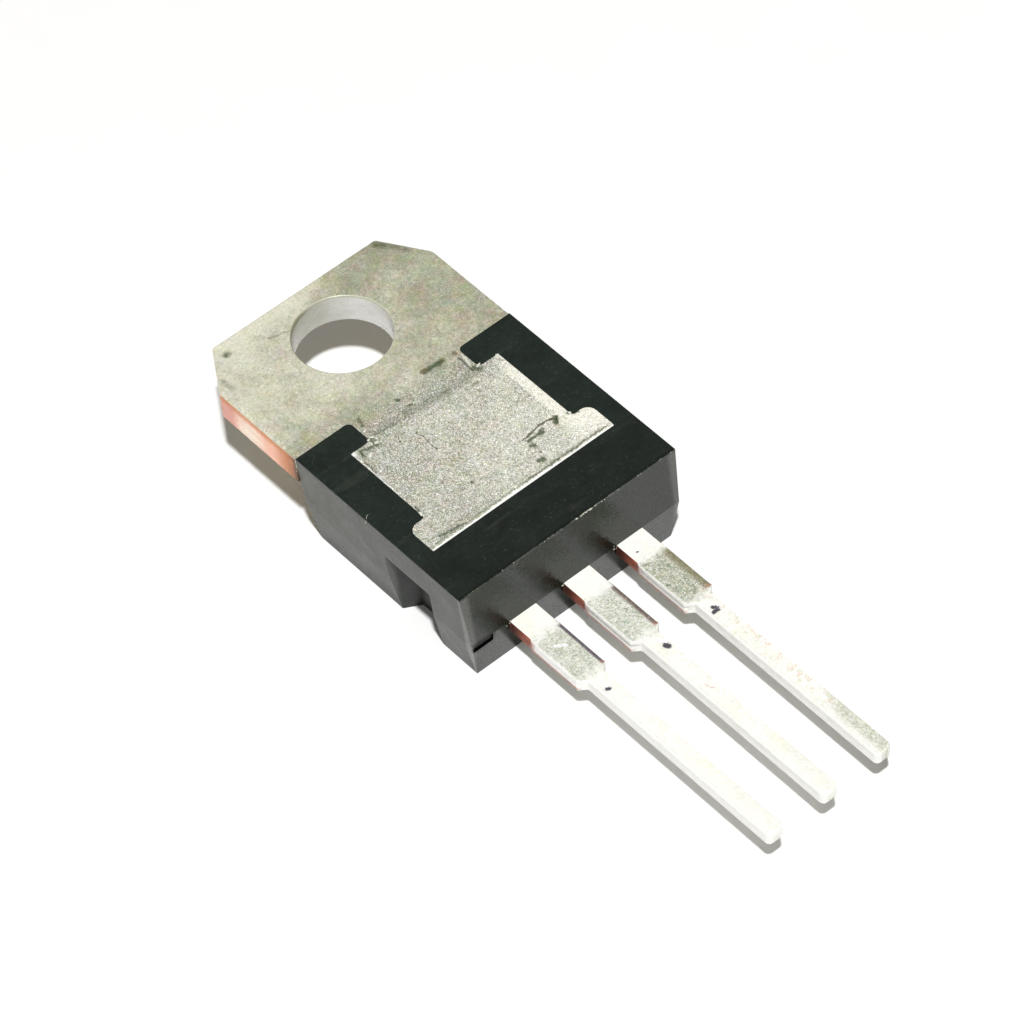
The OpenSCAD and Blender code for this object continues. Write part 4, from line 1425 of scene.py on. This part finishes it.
# Each lead's finish; rolled is the colour of the painted shade on its rolled edge.
LEAD_FINISHES = {
    LeadPlace.LEFT: LeadTin(
        "left_lead_tin",
        rolled=colour(92, 78, 96),
        pits=(
            Mark(MarkKind.STAIN, (-0.1, 4.67), (-0.05, 4.71), 0.12, 0.95, 0.6),
            Mark(MarkKind.GLINT, (-0.24, 1.91), (0.13, 2.2), 0.075, 1.0, 0.3),
        ),
        dull_end=0.2,
        side_line=0.0,
        roll_fade=0.0,
        specks=0.25,
    ),
    LeadPlace.MIDDLE: LeadTin(
        "middle_lead_tin",
        rolled=colour(112, 92, 84),
        pits=(
            Mark(MarkKind.STAIN, (0.16, 4.62), (0.2, 4.74), 0.16, 0.95, 0.5),
            Mark(MarkKind.RUST, (-0.02, 6.9), (0.0, 7.1), 0.03, 0.6, 0.8),
            Mark(MarkKind.RUST, (0.0, 7.1), (0.1, 7.25), 0.04, 0.7, 0.8),
        ),
        dull_end=0.25,
    ),
    LeadPlace.RIGHT: LeadTin(
        "right_lead_tin",
        rolled=colour(140, 136, 104),
        pits=(
            Mark(MarkKind.STAIN, (0.0, 4.48), (0.07, 4.66), 0.12, 0.95, 0.5),
            Mark(MarkKind.STAIN, (0.05, 4.7), (-0.16, 4.72), 0.1, 0.95, 0.5),
            Mark(MarkKind.STAIN, (-0.26, 0.7), (-0.26, 0.72), 0.06, 0.9, 0.6),
        ),
        dull_end=1.0,
        side_line=0.45,
        bar_dark=colour(142, 146, 122),
        bar_light=colour(218, 220, 200),
        roll_fade=0.26,
        specks=0.8,
    ),
}


# ---------- Flash, crumbs and fluff ----------


@dataclass
class StrayBits:
    """What the moulding and the trimming left behind: resin flakes, crumbs along the edges, and a fibre.

    Places are in millimetres in the part's own frame.
    """

    back: float = 4.5
    end_edge: float = -0.93
    lead_top: float = 1.92
    wall: float = -1.16
    pitch: float = 2.54
    beside_lead: float = 0.62
    crumbs_per_lead: int = 5

    def flakes(self) -> bpy.types.Object:
        """Thin flakes of resin on the plating by the neck's corners and by the foot's corners."""
        spots = np.array(
            [
                [-2.34, 6.94, 0.09, 0.04, 1.5],
                [-2.43, 7.11, 0.1, 0.04, 2.4],
                [-2.6, 7.08, 0.08, 0.04, 0.6],
                [-2.64, 6.88, 0.09, 0.04, 1.7],
                [-2.46, 6.8, 0.11, 0.045, 0.1],
                [-3.01, 6.48, 0.13, 0.06, 0.5],
                [-3.4, 6.93, 0.07, 0.05, 0.9],
                [-3.47, 3.1, 0.09, 0.07, 1.2],
                [2.47, 7.62, 0.32, 0.045, 1.34],
                [2.62, 7.08, 0.1, 0.045, 0.4],
                [3.43, 6.98, 0.07, 0.05, 0.6],
                [3.5, 3.0, 0.08, 0.06, 0.8],
            ]
        )
        centres = np.stack([spots[:, 0], spots[:, 1], np.full(len(spots), self.back)], axis=1)
        axes = np.stack([spots[:, 2], spots[:, 3], np.full(len(spots), 0.014)], axis=1)
        points, faces = pebbles(centres, axes, spots[:, 4], 31)
        return mesh_piece("resin_flakes", points, faces)

    def crumbs(self) -> bpy.types.Object:
        """Fine pale crumbs along the moulding's sharp edges and in the leads' corners.

        Along the end edge they lie at random, mostly between the left and the middle lead's far
        side. By each lead they lie about its upper left-hand corner.
        """
        rng = np.random.default_rng(17)
        scattered, thick, thin = 18, 14, 8
        along = np.concatenate(
            [
                rng.uniform(-4.6, 4.9, scattered),
                rng.normal(0.85, 0.2, thick),
                rng.normal(1.7, 0.35, thin),
            ]
        )
        across = rng.normal(0, 0.012, len(along))
        height = rng.normal(-0.01, 0.008, len(along))
        edge = np.stack([along, self.end_edge + across, self.back + height], axis=1)
        lead = np.array([-1, 0, 1]) * self.pitch - self.beside_lead
        lead = np.repeat(lead, self.crumbs_per_lead)
        beside = lead + rng.normal(0, 0.1, len(lead))
        outside = self.wall - rng.uniform(0.0, 0.03, len(lead))
        height = self.lead_top + rng.uniform(-0.12, 0.1, len(lead))
        root = np.stack([beside, outside, height], axis=1)
        centres = np.concatenate([edge, root])
        count = len(centres)
        size = [rng.uniform(0.006, 0.018, len(edge)), rng.uniform(0.01, 0.026, len(root))]
        size = np.concatenate(size)
        size[scattered : scattered + thick] *= 1.6
        axes = size[:, None] * rng.uniform((1.0, 0.7, 0.6), (2.4, 1.2, 1.0), (count, 3))
        points, faces = pebbles(centres, axes, rng.uniform(-0.4, 0.4, count), 18)
        return mesh_piece("edge_crumbs", points, faces)

    def fibre(self) -> bpy.types.Object:
        """One pale fibre that lies over the back's left edge: a straight run bent by a sine."""
        share = np.linspace(0, 1, 40)
        start, stop = np.array([-5.17, 4.16, self.back - 0.06]), np.array([-4.84, 4.36, self.back + 0.02])
        path = start + (stop - start) * share[:, None]
        bend = np.sin(share * math.pi)
        path = path + np.stack([0.03 * np.sin(share * 5.0), 0.05 * bend, 0.035 * bend], axis=1)
        radius = 0.011 * (1 - 0.5 * share**2)
        return mesh_piece("lint_fibre", *tube(path, radius))

    def build(self, effects: Effects) -> None:
        """Builds and dresses all of them."""
        resin = Speck("resin_flash", colour(252, 252, 246), colour(196, 198, 178), 0.35).build(effects)
        pale = Speck("pale_crumb", colour(228, 228, 214), colour(168, 170, 150)).build(effects)
        lint = Speck("lint", colour(214, 214, 200), colour(180, 180, 166), 0.6).build(effects)
        dress(self.flakes(), resin, MOULDING_SLOT)
        dress(self.crumbs(), pale, MOULDING_SLOT)
        dress(self.fibre(), lint, MOULDING_SLOT)


# ---------- Studio ----------


@dataclass(frozen=True)
class Lamp:
    """A square or round lamp that faces the part."""

    name: str
    shape: str
    share: float
    heading: tuple[float, float, float]
    distance: float
    size: float

    def build(self) -> None:
        """Adds the lamp.

        Its power gives the floor its share of the light by which a white sheet renders white. A lamp
        of power P sends P / (pi * distance ** 2) straight ahead, and the floor takes that times the
        cosine of the lamp's tilt.
        """
        heading = Vector(self.heading).normalized()
        data = bpy.data.lights.new(self.name, "AREA")
        data.shape = self.shape
        data.size = self.size
        data.energy = math.pi * self.share / heading.z * math.pi * self.distance**2
        lamp = bpy.data.objects.new(self.name, data)
        lamp.location = heading * self.distance
        lamp.rotation_euler = heading.to_track_quat("Z", "Y").to_euler()
        bpy.context.scene.collection.objects.link(lamp)


@dataclass
class Studio:
    """The pale floor, the soft lamps and the camera."""

    target: tuple[float, float, float] = (-1.0704, 0.8941, 4.5)
    azimuth: float = -36.229
    elevation: float = 49.662
    roll: float = -5.817
    distance: float = 193.039
    lens: float = 190.487
    world: float = 0.195
    floor_glow: float = 0.015
    floor_reach: float = 1500.0
    floor_lines: int = 25
    sky: tuple = (1.0, 0.97, 0.9, 1.0)
    key: Lamp = Lamp("key", "DISK", 0.9, (-0.25, -0.38, 1.0), 0.5, 0.028)

    def camera(self) -> None:
        """Puts the camera on its line of sight to the target, turned a little about that line."""
        az, el, roll = (math.radians(v) for v in (self.azimuth, self.elevation, self.roll))
        away = Vector((math.sin(az) * math.cos(el), -math.cos(az) * math.cos(el), math.sin(el)))
        right = (-away).cross(Vector((0, 0, 1))).normalized()
        up = right.cross(-away)
        x = math.cos(roll) * right + math.sin(roll) * up
        y = -math.sin(roll) * right + math.cos(roll) * up
        data = bpy.data.cameras.new("camera")
        data.lens = self.lens
        data.sensor_width = 36
        data.clip_start = 0.01
        data.clip_end = 20
        seen = bpy.data.objects.new("camera", data)
        place = Vector(self.target) * MM + away * self.distance * MM
        seen.matrix_world = Matrix.Translation(place) @ Matrix((x, y, away)).transposed().to_4x4()
        bpy.context.scene.collection.objects.link(seen)
        bpy.context.scene.camera = seen

    def lamps(self) -> None:
        """An even world, and a small key lamp high on the camera's side."""
        world = bpy.data.worlds.new("studio")
        bpy.context.scene.world = world
        world.use_nodes = True
        sky = world.node_tree.nodes["Background"]
        sky.inputs["Color"].default_value = self.sky
        sky.inputs["Strength"].default_value = self.world
        self.key.build()

    def floor(self) -> None:
        """A wide pale sheet under the part, a little brighter to the camera and in reflections."""
        t = Material("pale_floor")
        path = t.add("LightPath")
        seen = t.math("ADD", path.outputs["Is Camera Ray"], path.outputs["Is Glossy Ray"], clamp=True)
        seen = t.math("ADD", seen, path.outputs["Is Transmission Ray"], clamp=True)
        fibre = t.noise(t.place_mm(), 0.35, 3, 0.5)
        base = t.mix(fibre, colour(250, 250, 250), colour(253, 253, 253))
        glow = t.mix(seen, (0, 0, 0, 1), (1, 1, 1, 1))
        t.finish(
            Base_Color=base,
            Roughness=0.9,
            Specular_IOR_Level=0.0,
            Emission_Color=glow,
            Emission_Strength=self.floor_glow,
        )
        across = np.linspace(-self.floor_reach, self.floor_reach, self.floor_lines)
        x, y = np.meshgrid(across, across)
        points = np.stack([x, y, 0 * x], axis=2).reshape(-1, 3)
        quads = grid_quads(self.floor_lines, self.floor_lines, close_cols=False)
        sheet = mesh_piece("floor", points, [quads])
        sheet.data.materials.append(t.material)

    def build(self) -> None:
        """Builds the whole studio."""
        bpy.context.scene.view_settings.view_transform = "Standard"
        self.camera()
        self.lamps()
        self.floor()


def main() -> None:
    """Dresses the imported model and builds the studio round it."""
    logging.basicConfig(level=logging.INFO, format="%(name)s: %(message)s")
    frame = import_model()
    effects = Effects()
    Studio().build()

    nodes = frame["nodes"]
    epoxy = Epoxy().build(effects)
    nodes["mould_body"].data.materials.clear()
    nodes["mould_body"].data.materials.append(epoxy)
    weld = nodes["mould_body"].modifiers.new("weld", "WELD")
    weld.merge_threshold = 1e-6
    bevel = nodes["mould_body"].modifiers.new("bevel", "BEVEL")
    bevel.width = 0.04 * MM
    bevel.segments = 2
    bevel.limit_method = "ANGLE"
    bevel.angle_limit = math.radians(30)

    low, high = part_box("heat_sink_header")
    Header(low, high).build(effects)
    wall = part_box("mould_body")[0].y / MM
    for lead_place, finish in LEAD_FINISHES.items():
        Lead(lead_place, low, wall, finish.pits).build(finish.build(effects))
    StrayBits().build(effects)

    finishes = {
        "regulator_die": PlainMetal("silicon", colour(110, 112, 128), colour(92, 94, 110), 0.3, 0.25),
        "die_attach": PlainMetal("solder", colour(180, 180, 176), colour(140, 140, 138)),
        "left_bond_wire": PlainMetal("left_wire", colour(222, 222, 220), colour(196, 196, 194), 1.0, 0.3),
        "right_bond_wire": PlainMetal("right_wire", colour(222, 222, 220), colour(196, 196, 194), 1.0, 0.3),
        "ground_bond_wire": PlainMetal("ground_wire", colour(222, 222, 220), colour(196, 196, 194), 1.0, 0.3),
    }
    for node, finish in finishes.items():
        nodes[node].data.materials.clear()
        nodes[node].data.materials.append(finish.build(effects))


if __name__ == "__main__":
    main()
